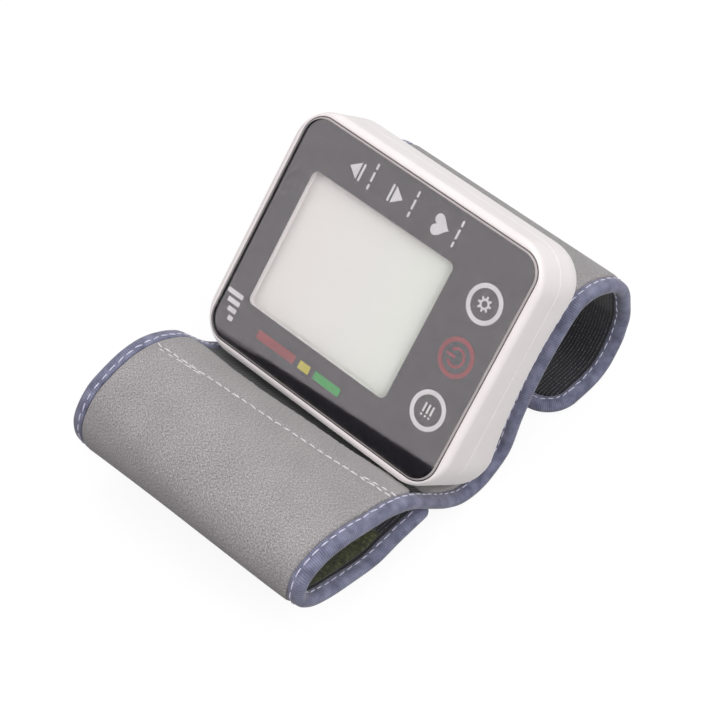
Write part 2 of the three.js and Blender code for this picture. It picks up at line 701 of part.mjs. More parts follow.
function placeAir() {
  place(monitor, "pressure_sensor", pressureSensor(), look.black);
  place(monitor, "pump_head", pumpHead(), look.frame);
  place(monitor, "pump_motor", pumpMotor(), look.steel);
  place(monitor, "pump_shaft", pumpShaft(), look.steel);
  place(monitor, "valve_body", valveBody(), look.black);
  place(monitor, "valve_plunger", valvePlunger(), look.steel);
  place(monitor, "air_manifold", airTee(), look.frame);
  const [x, y, z] = [manifoldX, manifoldY, airZ];
  const half = tee.size / 2 + fit;
  const runs = {
    pump: [[[x, pumpY + pump.width / 2 + fit, z], [x, y - half, z]], 1],
    valve: [[[x + half, y, z], [valveX0 - fit, y, z]], 1],
    cuff: [[[x, y, z - half], [x, y, stemTop + fit]], 1],
    sensor: [sensorRoute(), 9],
  };
  for (const [name, [run, steps]] of Object.entries(runs)) {
    place(monitor, `air_tube_${name}`, tubeAlong(run, steps), look.silicone);
  }
}

// The cuff's layers, from its middle out to the fleece and to the lining

const tapeInner = cuff.core + cuff.flange + fit;
const tapeHalf = tapeInner + cuff.tape;
const fleeceBack = cuff.core + cuff.stiffener + fit;
const fleeceFace = fleeceBack + cuff.fleece;
const liningBack = cuff.core + cuff.bladder + fit;
const liningFace = liningBack + cuff.lining;
const strapDepth = (x) => backAt(x) + fit + plate.thickness + fit + fleeceFace;

// The snap-on plate that carries the cuff, arched like the case's back.
function mountPlate() {
  const steps = 10;
  const across = Array.from({ length: steps + 1 }, (_, i) => THREE.MathUtils.lerp(plateEnds.left, plateEnds.right, i / steps));
  const outline = (offset) => across.map((x) => new THREE.Vector2(x, -backAt(x) - offset));
  const shape = new THREE.Shape([...outline(fit + plate.thickness), ...outline(fit).reverse()]);
  const arched = new THREE.ExtrudeGeometry(shape, { depth: 2 * plateHalf, bevelEnabled: false });
  const sheet = solid(arched.rotateX(Math.PI / 2).translate(0, plateHalf, 0));
  const tabs = tabPlaces.map(([x, y]) => {
    const catchBottom = -(backAt(x) - head.wall) + fit;
    const catchTop = catchBottom + tab.catchHeight;
    const outward = Math.sign(x) * (tab.catch / 2);
    return join(
      blockAt(x, y, tab.thickness, tab.width, -(backAt(x) + fit + plate.thickness / 2), catchTop),
      blockAt(x + outward, y, tab.thickness + tab.catch, tab.width, catchBottom, catchTop),
    );
  });
  return cut(join(sheet, ...tabs), post(manifoldX, manifoldY, nipple.radius + fit, deepBelow, 0));
}

const nippleBottom = -(strapDepth(manifoldX) - cuff.core);

function cuffNipple() {
  const stem = post(manifoldX, manifoldY, nipple.radius, nippleBottom, stemTop);
  const spigot = post(manifoldX, manifoldY, nozzle.radius, nippleBottom, stemTop + nipple.rise, 12);
  return cut(join(stem, spigot), post(manifoldX, manifoldY, nipple.bore, deepBelow, 0, 8));
}

// Where the strap runs

const tilt = THREE.MathUtils.degToRad(restTiltDegrees);

// A point of the case's frame, upright, with the panel's centre at zero.
function upright(x, z) {
  return [x * Math.cos(tilt) - z * Math.sin(tilt), x * Math.sin(tilt) + z * Math.cos(tilt)];
}

const caseLeft = -halfCase.x;
const edgeX = caseLeft + head.cornerRadius;
const edgeDepth = backAt(edgeX) - head.cornerRadius;
const bendRadius = head.cornerRadius + fleeceFace + fit + bend.slack;
const panelHeight = tapeHalf + bendRadius - upright(edgeX, -edgeDepth)[1];

// Points of the strap's middle in the case's frame: down beside the case, round its edge and under its back.
function casePoints() {
  const besideX = caseLeft - fleeceFace - fit - side.slack;
  const round = bend.turnShares.map((share) => {
    const angle = (Math.PI / 2) * share;
    return [edgeX - bendRadius * Math.cos(angle), -edgeDepth - bendRadius * Math.sin(angle)];
  });
  const under = underShares.map((share) => {
    const x = share * halfCase.x;
    return [x, -strapDepth(x)];
  });
  return [[besideX, -side.startDepth], [besideX, -side.endDepth], ...round, ...under];
}

function strapCurve(lobeShares, lobeHeight) {
  const left = upright(caseLeft, 0)[0];
  const freeEnd = left + rightLobe.freeEndShare * head.width;
  const points = [
    ...lobeShares.map(([along, up]) => [left - leftLobe.length * along, lobeHeight * up]),
    ...casePoints().map(([x, z]) => [upright(x, z)[0], upright(x, z)[1] + panelHeight]),
    ...rightLobe.shares.map(([along, up]) => [freeEnd + rightLobe.length * along, rightLobe.height * up]),
    ...rightLobe.flatShares.map((along) => [freeEnd + rightLobe.length * along, fleeceFace]),
  ];
  const curve = new THREE.CatmullRomCurve3(points.map(([x, z]) => new THREE.Vector3(x, 0, z)), false, "centripetal");
  curve.arcLengthDivisions = 1200;
  return curve;
}

const nearCurve = strapCurve(leftLobe.nearShares, leftLobe.nearHeight);
const farCurve = strapCurve(leftLobe.farShares, leftLobe.farHeight);
const strapLength = Math.min(nearCurve.getLength(), farCurve.getLength());

// A point of the cuff: `along` from its left end, `across` its width, `out` from its middle to the fleece.
// Lengths are measured back from the right end, so the two edges run side by side.
function strapPoint(along, across, out) {
  const [t0, t1] = [nearCurve, farCurve].map((curve) =>
    THREE.MathUtils.clamp(1 - (strapLength - along) / curve.getLength(), 0, 1));
  const share = across / cuff.width + 0.5;
  const point = nearCurve.getPointAt(t0).lerp(farCurve.getPointAt(t1), share);
  const ahead = nearCurve.getTangentAt(t0).lerp(farCurve.getTangentAt(t1), share);
  const normal = new THREE.Vector3(-ahead.z, 0, ahead.x).normalize();
  return point.addScaledVector(normal, out).setY(across);
}

// A sheet of the cuff. Its grid runs round the corners in rings; `lower` and `upper` list, from the edge in,
// how far each ring lies inside the sheet's outline and how far out its surface is, the last being the middle.
// The middle of the width is one step wide, or `middleSteps` of them.
function sheet(outline, lower, upper, middleSteps = 1) {
  const { from, to, halfWidth, corner, steps } = outline;
  const rings = lower.length - 1;
  const acrossSteps = 2 * rings + middleSteps;
  const pitch = (to - from - 2 * corner) / (steps - 2 * rings);
  const grid = new THREE.BoxGeometry(steps, acrossSteps, 1, steps, acrossSteps, 1);
  return moveVertices(grid, (x, y, z) => {
    const i = Math.round(x + steps / 2);
    const j = Math.round(y + acrossSteps / 2);
    const fromEnd = Math.min(i, steps - i);
    const fromSide = Math.min(j, acrossSteps - j);
    const [a, b] = [Math.min(fromEnd, rings), Math.min(fromSide, rings)];
    const ring = Math.min(a, b);
    const [inset, out] = (z > 0 ? upper : lower)[ring];
    const angle = ring < rings ? (Math.PI / 4) * (1 + (a - b) / (rings - ring)) : 0;
    const reach = ring < rings ? corner - inset : 0;
    const along = corner - reach * Math.cos(angle) + (fromEnd - a) * pitch;
    const middle = (halfWidth - corner) * (1 - (2 * (fromSide - b)) / middleSteps);
    const across = middle + reach * Math.sin(angle);
    return strapPoint(i > fromEnd ? to - along : from + along, j > fromSide ? across : -across, out);
  });
}

const outline = {
  from: 0, to: strapLength, halfWidth: cuff.width / 2, corner: cuff.cornerRadius, steps: cuff.steps,
};
const straightSteps = outline.steps - 2 * cornerSegments;
const gridPitch = (strapLength - 2 * outline.corner) / straightSteps;
const edgeInset = cuff.tape + fit;
const footInset = cuff.tapeFace + fit;
const headInset = footInset + cuff.tapeShoulder;
const coreFoot = cuff.coreEdge - cuff.coreShoulder;

function fleeceSheet() {
  const lower = [[edgeInset, cuff.core], [coreFoot, cuff.core], [cuff.coreEdge, fleeceBack], [0, fleeceBack]];
  const flangeTop = cuff.core + cuff.flange;
  const upper = [[edgeInset, flangeTop], [footInset, flangeTop], [headInset, fleeceFace], [0, fleeceFace]];
  return sheet(outline, lower, upper);
}

function liningSheet() {
  const flangeBottom = -cuff.core - cuff.flange;
  const lower = [[edgeInset, flangeBottom], [footInset, flangeBottom], [headInset, -liningFace], [0, -liningFace]];
  const upper = [[edgeInset, -cuff.core], [coreFoot, -cuff.core], [cuff.coreEdge, -liningBack], [0, -liningBack]];
  return sheet(outline, lower, upper);
}

// A plain sheet inside the cuff's outline, between two distances out, on the same grid.
function innerSheet(startShare, endShare, inset, out0, out1, middleSteps) {
  const halfWidth = cuff.width / 2 - inset;
  const startStep = Math.round(startShare * straightSteps);
  const endStep = Math.round(endShare * straightSteps);
  const from = outline.corner + startStep * gridPitch;
  const to = outline.corner + endStep * gridPitch;
  const place = { from, to, halfWidth, corner: gridPitch, steps: endStep - startStep };
  return sheet(place, [[0, out0], [0, out0]], [[0, out1], [0, out1]], middleSteps);
}

// The springy sheet that keeps the whole cuff curled.
function stiffenerSheet() {
  const inset = cuff.coreEdge + fit;
  const place = {
    from: inset, to: strapLength - inset, halfWidth: outline.halfWidth - inset, corner: outline.corner - inset,
    steps: straightSteps + 2,
  };
  const outer = cuff.core + cuff.stiffener;
  return sheet(place, [[0, cuff.core], [0, cuff.core]], [[0, outer], [0, outer]]);
}

// One half of the edge binding, from the middle of the left end round the near or far side to the right end.
function bindingTape(far) {
  const { tape, tapeFace } = cuff;
  const section = new THREE.Shape(
    [
      [0, -tapeHalf], [tapeFace, -tapeHalf], [tapeFace, -tapeInner], [tape, -tapeInner],
      [tape, tapeInner], [tapeFace, tapeInner], [tapeFace, tapeHalf], [0, tapeHalf],
    ].map(([x, y]) => new THREE.Vector2(x, y)),
  );
  const endSteps = 2;
  const turnSteps = 2 * cornerSegments;
  const steps = straightSteps + 2 * (endSteps + turnSteps);
  const flatEnd = outline.halfWidth - outline.corner;
  const tapeForm = new THREE.ExtrudeGeometry(section, { steps, depth: steps, bevelEnabled: false });
  return moveVertices(tapeForm, (inset, out, z) => {
    const step = far ? steps - Math.round(z) : Math.round(z);
    const fromEnd = Math.min(step, steps - step);
    const angle = ((Math.PI / 2) * THREE.MathUtils.clamp(fromEnd - endSteps, 0, turnSteps)) / turnSteps;
    const reach = outline.corner - inset;
    const run = Math.max(fromEnd - endSteps - turnSteps, 0) * gridPitch;
    const along = outline.corner - reach * Math.cos(angle) + run;
    const endAcross = THREE.MathUtils.lerp(fit / 2, flatEnd, Math.min(fromEnd / endSteps, 1));
    const across = endAcross + reach * Math.sin(angle);
    return strapPoint(step > fromEnd ? strapLength - along : along, far ? across : -across, out);
  });
}

function placeCuff() {
  const air = innerSheet(
    bladder.startShare, bladder.endShare, cuff.coreEdge + fit, -cuff.core - cuff.bladder, -cuff.core,
  );
  const hookBack = -liningFace - fit;
  const hook = innerSheet(
    hookTape.startShare, hookTape.endShare, hookTape.sideMargin, hookBack - hookTape.thickness, hookBack,
    hookTape.middleSteps,
  );
  const hole = new THREE.CylinderGeometry(nipple.radius + fit, nipple.radius + fit, head.backDepth, 12);
  hole.rotateX(Math.PI / 2).translate(manifoldX, manifoldY, nippleBottom - cuff.core + head.backDepth / 2);
  hole.applyMatrix4(new THREE.Matrix4().makeRotationY(-tilt).setPosition(0, 0, panelHeight));
  place(monitor, "cuff_mount_plate", mountPlate(), look.frame);
  place(monitor, "cuff_nipple", cuffNipple(), look.black);
  place(strap, "cuff_fleece", cut(solid(fleeceSheet()), solid(hole)), look.fleece);
  place(strap, "cuff_lining", liningSheet(), look.lining);
  place(strap, "cuff_stiffener", cut(solid(stiffenerSheet()), solid(hole)), look.sheet);
  place(strap, "cuff_bladder", air, look.bladder);
  place(strap, "hook_patch", hook, look.hook);
  place(strap, "binding_near", bindingTape(false), look.binding);
  place(strap, "binding_far", bindingTape(true), look.binding);
}

placeCase();
placeDisplay();
placePower();
placeAir();
placeCuff();

monitor.rotation.y = -tilt;
monitor.position.z = panelHeight;

// The origin lies under the middle of the part, on the table.
const wristMonitor = new THREE.Group();
wristMonitor.add(monitor, strap);
wristMonitor.updateMatrixWorld(true);
const extent = new THREE.Box3().setFromObject(wristMonitor, true);
wristMonitor.position.set(-(extent.min.x + extent.max.x) / 2, -(extent.min.y + extent.max.y) / 2, -extent.min.z);

export default wristMonitor;
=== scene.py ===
"""Looks of a wrist blood pressure monitor: an arched case on a bound fleece cuff.

Everything is in millimetres until a mesh is made, then in metres. The case is described in the panel's
frame (x across the panel, y up it, z out of it), the cuff by its length, its width and its thickness.
"""
import json

import bpy
import numpy as np
from mathutils import Matrix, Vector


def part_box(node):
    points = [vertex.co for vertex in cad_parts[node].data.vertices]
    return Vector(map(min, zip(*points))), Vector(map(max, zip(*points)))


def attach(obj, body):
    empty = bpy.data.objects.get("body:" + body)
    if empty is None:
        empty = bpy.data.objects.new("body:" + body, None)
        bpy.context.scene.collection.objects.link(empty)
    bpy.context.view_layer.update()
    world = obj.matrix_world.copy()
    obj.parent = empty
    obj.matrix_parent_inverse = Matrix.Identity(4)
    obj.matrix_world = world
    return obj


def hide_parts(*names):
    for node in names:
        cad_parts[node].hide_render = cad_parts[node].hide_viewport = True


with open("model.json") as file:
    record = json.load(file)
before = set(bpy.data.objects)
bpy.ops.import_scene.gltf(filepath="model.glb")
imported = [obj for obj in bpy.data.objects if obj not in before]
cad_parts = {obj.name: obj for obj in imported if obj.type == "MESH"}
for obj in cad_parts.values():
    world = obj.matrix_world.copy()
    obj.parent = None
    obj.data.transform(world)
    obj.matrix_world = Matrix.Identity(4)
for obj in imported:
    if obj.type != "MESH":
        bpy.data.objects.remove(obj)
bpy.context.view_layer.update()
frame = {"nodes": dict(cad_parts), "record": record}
MM = 0.001
rng = np.random.default_rng(7)

# Sizes of the case, in the panel's frame
FIT = 0.3
HEAD_WIDTH, HEAD_HEIGHT, HEAD_RADIUS = 62.0, 74.7, 10.0
HALF_X, HALF_Y = HEAD_WIDTH / 2, HEAD_HEIGHT / 2
WALL = 1.6
RIM_DROP, RIM_ROUNDING = 0.35, 1.7
PARTING = 8.5
SEAM, SEAM_BEVEL = 0.14, 0.12  # what shows of the joint between the housings
RIM_SHARE = 0.93  # of the way from the outline to the lens seat, which the rim's rounding takes
BACK_DEPTH, ARCH_RADIUS, ARCH_X = 22.0, 80.0, 6.0
LENS_INSET, LENS_RADIUS, LENS_GAP = 2.1, 5.6, 0.3
LENS_THICKNESS, LENS_CHAMFER = 0.6, 0.36  # thinner than the solid: its print shows right up to the chamfer
PRINT_INSET, PRINT_TOP, PRINT_BACK = 0.02, -0.035 - LENS_THICKNESS, -0.08 - LENS_THICKNESS
DECK_FRONT, DECK_BACK = -1.8, -3.0
DISPLAY_X, DISPLAY_Y = -0.3, 6.2
DISPLAY_FRAME_Z = -5.35
WINDOW_WIDTH, WINDOW_HEIGHT, WINDOW_RADIUS = 35.0, 43.6, 1.6
DECK_WINDOW = 41.8, 50.3, 0.6  # width, height and corner radius
GAP_SHADE_TOP, GAP_SHADE_BACK = -0.52, -1.76  # a black ring in the gap round the lens: painted shade for the dark line of the deep narrow gap
KEY_Y, KEY_PITCH = -26.6, 13.64
RING_RADIUS, RING_LINE = 4.16, 1.1
DOOR_HALF, DOOR_BOTTOM, DOOR_GAP = 24.8, 20.1, 0.12
GROOVES, GROOVE_PITCH, GROOVE_START, GROOVE_HALF, GROOVE_DEPTH, GROOVE_REACH = 4, 1.2, 0.45, 0.28, 0.5, 7.0
TONGUE_WIDTH, TONGUE_DEPTH, TONGUE_LOW, TONGUE_HIGH = 7.0, 3.9, -10.4, -9.6
BOSSES = [(-24.5, -31.0), (24.5, -31.0), (-27.2, 6.999), (27.2, 6.999)]
HOLE_RADIUS, WELL_RADIUS, CUP_RADIUS = 1.2, 2.6, 3.6
CUP_TOP, CUP_SEAT = -12.0, -13.5
TAB_X, TAB_Y = 16.0, 20.0
SLOT_HALF_X, SLOT_HALF_Y, SLOT_SHIFT, SLOT_TOP = 1.15, 3.3, 0.25, -17.0
PAST_BACK, PAST_WALL = -44.0, -10.0  # how deep and how high a cutter reaches

# Sizes of the cuff
REST_TILT = np.radians(44)
CUFF_WIDTH, CUFF_RADIUS, START_RADIUS = 70.0, 9.0, 3.0
FLEECE_FACE, FLANGE, CORE = 1.85, 0.65, 0.15
LINING_FACE, HOOK_FACE = 1.45, 2.35
TAPE_HALF, TAPE_THICKNESS, TAPE_FACE = 1.5, 0.55, 3.4
PLATE_STACK = 0.3 + 1.1 + 0.3  # gap, mount plate and gap between the case's back and the cuff
LEFT_LENGTH, LEFT_NEAR_HEIGHT, LEFT_FAR_HEIGHT = 37.0, 26.5, 34.0
LEFT_NEAR = [
    (-0.125, 0.366), (0.18, 0.347), (0.365, 0.32), (0.573, 0.374), (0.776, 0.453), (0.908, 0.555),
    (0.97, 0.69), (0.927, 0.86), (0.776, 0.951), (0.613, 0.94), (0.395, 0.86), (0.208, 0.777),
]
LEFT_FAR = [
    (0.316, 0.19), (0.505, 0.18), (0.72, 0.21), (0.897, 0.31), (0.99, 0.48), (1.035, 0.656), (1.01, 0.794),
    (0.89, 0.93), (0.765, 0.976), (0.605, 1), (0.454, 0.974), (0.311, 0.89), (0.21, 0.794), (0.13, 0.66),
]
SIDE_DEPTHS = [1, 8]
TURN_SHARES = [0, 0.3, 0.6, 0.85]
UNDER_SHARES = [-0.62, -0.33, 0, 0.3, 0.55]
RIGHT_LENGTH, RIGHT_HEIGHT, FREE_END = 28.2, 34.5, 0.7016 * HEAD_WIDTH
RIGHT_SHARES = [
    (0.433, 1), (0.635, 0.98), (0.897, 0.84), (0.99, 0.696), (1, 0.55), (0.99, 0.423), (0.947, 0.339),
    (0.894, 0.255), (0.823, 0.188), (0.72, 0.11), (0.61, 0.068),
]
FLAT_SHARES = [0.5, 0.36, 0.24, 0.12, 0]
LOBE_BULGE, BULGE_START, BULGE_LENGTH = 2.4, 7.8, 65.0  # the left lobe is fullest at the middle of its width
LOBE_DIP, DIP_START, DIP_LENGTH = 1.25, 140.0, 74.0  # the right lobe sinks a little, most at its far side
SHADE_STRIP_START, SHADE_STRIP_END, LAP = 66.8, 95.8, 4  # the near-black strip of painted shade beside the case, and how far the tail's fleece laps over it
SHEET_HALF = 28.3  # half the width of the curler and the bladder
CURLER_INSET, CURLER_LOW, CURLER_HIGH = 6.7, 0.2, 0.52
BLADDER_INSET, BLADDER_FROM, BLADDER_TO = 9, 0.43, 0.96  # its ends as shares of the length inside the inset
BLADDER_MIDDLE, BLADDER_SWELL = -0.42, 0.25
HOOK_START, HOOK_END, HOOK_HALF = 12.0, 75.3, 31.0
STITCHES, STITCH_LENGTH, STITCH_INSET, STITCH_RADIUS = 231, 1.85, 2.45, 0.16  # round the binding
SEAM_PITCH, SEAM_STITCH, SEAM_THREAD = 2.25, 1.75, 0.19

COS, SIN = np.cos(REST_TILT), np.sin(REST_TILT)


def upright(x, z):
    """The panel frame's x and z turned upright by the rest tilt."""
    return x * COS - z * SIN, x * SIN + z * COS


def back_at(x):
    """Depth of the case's back: a circle's arch, level at the rounded edges."""
    across = np.clip(x, HEAD_RADIUS - HALF_X, HALF_X - HEAD_RADIUS) - ARCH_X
    return BACK_DEPTH + ARCH_RADIUS - np.sqrt(ARCH_RADIUS**2 - across**2)


EDGE_X = HEAD_RADIUS - HALF_X
EDGE_DEPTH = back_at(EDGE_X) - HEAD_RADIUS
BEND_RADIUS = HEAD_RADIUS + FLEECE_FACE + FIT + 0.2
PANEL_HEIGHT = TAPE_HALF + BEND_RADIUS - upright(EDGE_X, -EDGE_DEPTH)[1]


def panel_origin():
    """The panel's centre in mm: the display's frame is symmetric, so its box centre tells where it is."""
    low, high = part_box("lcd_frame")
    middle = (np.array(low) + np.array(high)) / 2 / MM
    dx, dz = upright(DISPLAY_X, DISPLAY_FRAME_Z)
    return middle - np.array([dx, DISPLAY_Y, dz])


ORIGIN = panel_origin()


def on_case(points):
    """Points of the panel's frame, in mm, to the object's frame, in metres: a turn by the tilt and a shift."""
    points = np.asarray(points, float)
    x, z = upright(points[..., 0], points[..., 2])
    return (np.stack([x, points[..., 1], z], -1) + ORIGIN) * MM


# Where the cuff runs


def strap_knots(shares, height):
    """Knots of the strap's middle line: left lobe, beside and under the case, right lobe, flat free end."""
    left = upright(-HALF_X, 0)[0]
    knots = [(left - LEFT_LENGTH * a, height * u) for a, u in shares]
    beside = -HALF_X - FLEECE_FACE - FIT - 0.25
    case = [(beside, -depth) for depth in SIDE_DEPTHS]
    for share in TURN_SHARES:
        turn = np.pi / 2 * share
        case.append((EDGE_X - BEND_RADIUS * np.cos(turn), -EDGE_DEPTH - BEND_RADIUS * np.sin(turn)))
    under = [share * HALF_X for share in UNDER_SHARES]
    case += [(x, -(back_at(x) + PLATE_STACK + FLEECE_FACE)) for x in under]
    for x, z in case:
        across, up = upright(x, z)
        knots.append((across, up + PANEL_HEIGHT))
    end = left + FREE_END
    knots += [(end + RIGHT_LENGTH * a, RIGHT_HEIGHT * u) for a, u in RIGHT_SHARES]
    knots += [(end + RIGHT_LENGTH * a, FLEECE_FACE) for a in FLAT_SHARES]
    return np.array(knots, float)


def reach_along(points):
    """The length from the first of a line's points to each."""
    return np.concatenate([[0], np.cumsum(np.linalg.norm(np.diff(points, axis=0), axis=1))])


def smooth_line(knots, steps=160):
    """Centripetal Catmull-Rom curve: cubic pieces whose end slopes weigh the knots by the roots of their gaps."""
    p = np.vstack([2 * knots[0] - knots[1], knots, 2 * knots[-1] - knots[-2]])
    gap = np.sqrt(np.linalg.norm(np.diff(p, axis=0), axis=1))[:, None]
    a, b, c, d = p[:-3], p[1:-2], p[2:-1], p[3:]
    g0, g1, g2 = gap[:-2], gap[1:-1], gap[2:]
    slope0 = ((b - a) / g0 - (c - a) / (g0 + g1) + (c - b) / g1) * g1
    slope1 = ((c - b) / g1 - (d - b) / (g1 + g2) + (d - c) / g2) * g1
    w = np.linspace(0, 1, steps, endpoint=False)[None, :, None]
    b, c, slope0, slope1 = (v[:, None, :] for v in (b, c, slope0, slope1))
    square, cube = 3 * c - 3 * b - 2 * slope0 - slope1, 2 * b - 2 * c + slope0 + slope1
    spots = b + slope0 * w + square * w**2 + cube * w**3
    spots = np.vstack([spots.reshape(-1, 2), knots[-1:]])
    reach = reach_along(spots)
    ahead = np.gradient(spots, reach, axis=0)
    return reach, spots, ahead / np.linalg.norm(ahead, axis=1)[:, None]


NEAR_LINE = smooth_line(strap_knots(LEFT_NEAR, LEFT_NEAR_HEIGHT))
FAR_LINE = smooth_line(strap_knots(LEFT_FAR, LEFT_FAR_HEIGHT))
STRAP = min(NEAR_LINE[0][-1], FAR_LINE[0][-1])


def on_cuff(along, across, out):
    """Points of the cuff in metres: between the near and the far line by the width, then off along the normal."""
    along, across, out = np.broadcast_arrays(along, across, out)
    share = across / CUFF_WIDTH + 0.5
    place, ahead = 0, 0
    for (reach, spots, ways), weight in ((NEAR_LINE, 1 - share), (FAR_LINE, share)):
        at = np.clip(reach[-1] - STRAP + along, 0, reach[-1])
        place = place + weight * np.stack([np.interp(at, reach, spots[:, k]) for k in (0, 1)])
        ahead = ahead + weight * np.stack([np.interp(at, reach, ways[:, k]) for k in (0, 1)])
    ahead = ahead / np.linalg.norm(ahead, axis=0)
    fullness = np.sin(np.pi * np.clip((along - BULGE_START) / BULGE_LENGTH, 0, 1)) ** 2
    sinking = np.sin(np.pi * np.clip((along - DIP_START) / DIP_LENGTH, 0, 1)) ** 2
    out = out + LOBE_BULGE * 4 * share * (1 - share) * fullness
    out = out - LOBE_DIP * (0.75 + 0.25 * share) * sinking
    row = np.stack([place[0] - ahead[1] * out, across + 0 * out, place[1] + ahead[0] * out], -1)
    return (row + ORIGIN - np.array([0, 0, PANEL_HEIGHT])) * MM


# Meshes


def grid_faces(rows, columns, close_rows=False, close_columns=False):
    """Four-sided faces between neighbours of a row-by-row grid, joined end to end where it closes."""
    i = np.arange(rows if close_rows else rows - 1)[:, None]
    j = np.arange(columns if close_columns else columns - 1)[None, :]
    k, m = (i + 1) % rows, (j + 1) % columns
    return np.stack([i * columns + j, k * columns + j, k * columns + m, i * columns + m], -1).reshape(-1, 4)


def slab(top, bottom):
    """A sheet with thickness: two grids of the same shape and a strip round their rims."""
    rows, columns = top.shape[:2]
    count = rows * columns
    index = np.arange(count).reshape(rows, columns)
    rim = np.concatenate([index[0, :-1], index[:-1, -1], index[-1, :0:-1], index[:0:-1, 0]])
    after = np.roll(rim, -1)
    faces = grid_faces(rows, columns)
    sides = np.stack([rim, after, after + count, rim + count], -1)
    points = np.concatenate([top.reshape(-1, 3), bottom.reshape(-1, 3)])
    return points, np.vstack([faces, faces[:, ::-1] + count, sides]).tolist()


def loft(loops, closed=False):
    """A skin over a list of loops of equally many points, closed end to end or with its end loops filled."""
    loops = np.asarray(loops, float)
    rows, columns = loops.shape[:2]
    faces = grid_faces(rows, columns, close_rows=closed, close_columns=True).tolist()
    if not closed:
        faces.append(list(range(columns)))
        faces.append(list(range(rows * columns - 1, (rows - 1) * columns - 1, -1)))
    return loops.reshape(-1, 3), faces


def gather(parts):
    """Several meshes as one: their points in a row, their faces counted on."""
    points, faces, start = [], [], 0
    for part_points, part_faces in parts:
        points.append(part_points)
        faces += [[start + v for v in face] for face in part_faces]
        start += len(part_points)
    return np.concatenate(points), faces


def signed_volume(points, faces):
    """Six times the volume by triangle fans: positive where the faces point out."""
    total, by_size = 0.0, {}
    for face in faces:
        by_size.setdefault(len(face), []).append(face)
    for size, group in by_size.items():
        p = points[np.array(group)]
        for k in range(1, size - 1):
            total += np.einsum("ij,ij->i", p[:, 0], np.cross(p[:, k], p[:, k + 1])).sum()
    return total


def piece(name, shape, material, body="monitor", sharp=35, marks=None, mirrored=True):
    """A mesh object at the origin, its faces turned outwards, its edges sharp past the given angle.

    The panel mirrors the studio's lamp and flag alone, as in the photograph, and not the cuff.
    """
    points, faces = shape
    if signed_volume(points - points.mean(0), faces) < 0:
        faces = [face[::-1] for face in faces]
    mesh = bpy.data.meshes.new(name)
    mesh.from_pydata(points.tolist(), [], faces)
    mesh.polygons.foreach_set("use_smooth", np.ones(len(faces), bool))
    mesh.set_sharp_from_angle(angle=np.radians(sharp))
    for key, values in (marks or {}).items():
        layer = mesh.attributes.new(key, "FLOAT_VECTOR", "POINT")
        layer.data.foreach_set("vector", np.ascontiguousarray(values, np.float32).ravel())
    mesh.materials.append(material)
    thing = bpy.data.objects.new(name, mesh)
    bpy.context.scene.collection.objects.link(thing)
    thing.visible_glossy = thing.visible_transmission = mirrored
    if body:
        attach(thing, body)
    return thing


def circle(x, y, radius, turn):
    """Points of a circle at the given turns."""
    return np.stack([x + radius * np.cos(turn), y + radius * np.sin(turn)], -1)


def rounded_outline(width, height, radius, x=0.0, y=0.0, corner=12, straight=14):
    """A rectangle with round corners, run anticlockwise: four arcs with even steps between them."""
    halves = np.array([width / 2 - radius, height / 2 - radius])
    turn = np.linspace(0, np.pi / 2, corner + 1)
    signs = [(1, 1), (-1, 1), (-1, -1), (1, -1)]
    arcs = [circle(*(halves * sign), radius, turn + k * np.pi / 2) for k, sign in enumerate(signs)]
    step = np.linspace(0, 1, straight + 2)[1:-1, None]
    whole = []
    for arc, following in zip(arcs, arcs[1:] + arcs[:1]):
        whole += [arc, arc[-1] * (1 - step) + following[0] * step]
    return np.vstack(whole) + np.array([x, y])


def at_level(outline, z):
    """An outline as points of one level, or of one level for each point."""
    return np.column_stack([outline, np.broadcast_to(z, len(outline))])


def full_turn(sides):
    """Even turns round a circle."""
    return np.arange(sides) * 2 * np.pi / sides


def stacked(levels, **options):
    """A skin over outlines of the panel's frame, each at its level."""
    return loft([on_case(at_level(outline, z)) for outline, z in levels], **options)


def case_outline(inset, radius, **counts):
    """The case's outline drawn in by a distance, its corners of the given radius."""
    return rounded_outline(HEAD_WIDTH - 2 * inset, HEAD_HEIGHT - 2 * inset, max(radius, 0.01), **counts)


def lens_outline(inset, **counts):
    """The front lens's outline drawn in by a distance, or let out by a negative one."""
    return case_outline(LENS_INSET + inset, LENS_RADIUS - inset, **counts)


# Materials


def linear(hex_value, alpha=1.0):
    """An sRGB hex colour as linear light."""
    parts = [((hex_value >> shift) & 255) / 255 for shift in (16, 8, 0)]
    return (*[c / 12.92 if c <= 0.04045 else ((c + 0.055) / 1.055) ** 2.4 for c in parts], alpha)


def add(material, kind, sockets=None, feeds=None, stops=(), **fields):
    """Adds a node: its fields, its sockets by value or link, a ramp's stops, the socket its first output feeds."""
    tree = material.node_tree
    made = tree.nodes.new(kind)
    for key, value in fields.items():
        setattr(made, key, value)
    for key, value in (sockets or {}).items():
        if isinstance(value, bpy.types.Node):
            value = value.outputs[0]
        if isinstance(value, bpy.types.NodeSocket):
            tree.links.new(value, made.inputs[key])
        else:
            made.inputs[key].default_value = value
    for k, (place, colour) in enumerate(stops):
        if k >= len(made.color_ramp.elements):
            made.color_ramp.elements.new(1.0)
        made.color_ramp.elements[k].position = place
        made.color_ramp.elements[k].color = linear(colour)
    if feeds:
        tree.links.new(made.outputs[0], feeds)
    return made


def finish(name, sockets):
    """A material of one Principled shader with these values; patterns are linked to it afterwards."""
    material = bpy.data.materials.new(name)
    material.use_nodes = True
    shader = material.node_tree.nodes["Principled BSDF"]
    for key, value in sockets.items():
        shader.inputs[key].default_value = value
    return material, shader.inputs


def surface(material, shader, tone, stops, height, depth, strength=1.0, normal=None):
    """Colours a material from one pattern by a ramp and embosses it with another, as deep as given in mm."""
    add(material, "ShaderNodeValToRGB", {0: tone}, shader["Base Color"], stops)
    relief = {"Height": height, "Distance": depth * MM, "Strength": strength}
    if normal:
        relief["Normal"] = normal
    add(material, "ShaderNodeBump", relief, shader["Normal"])
    return material


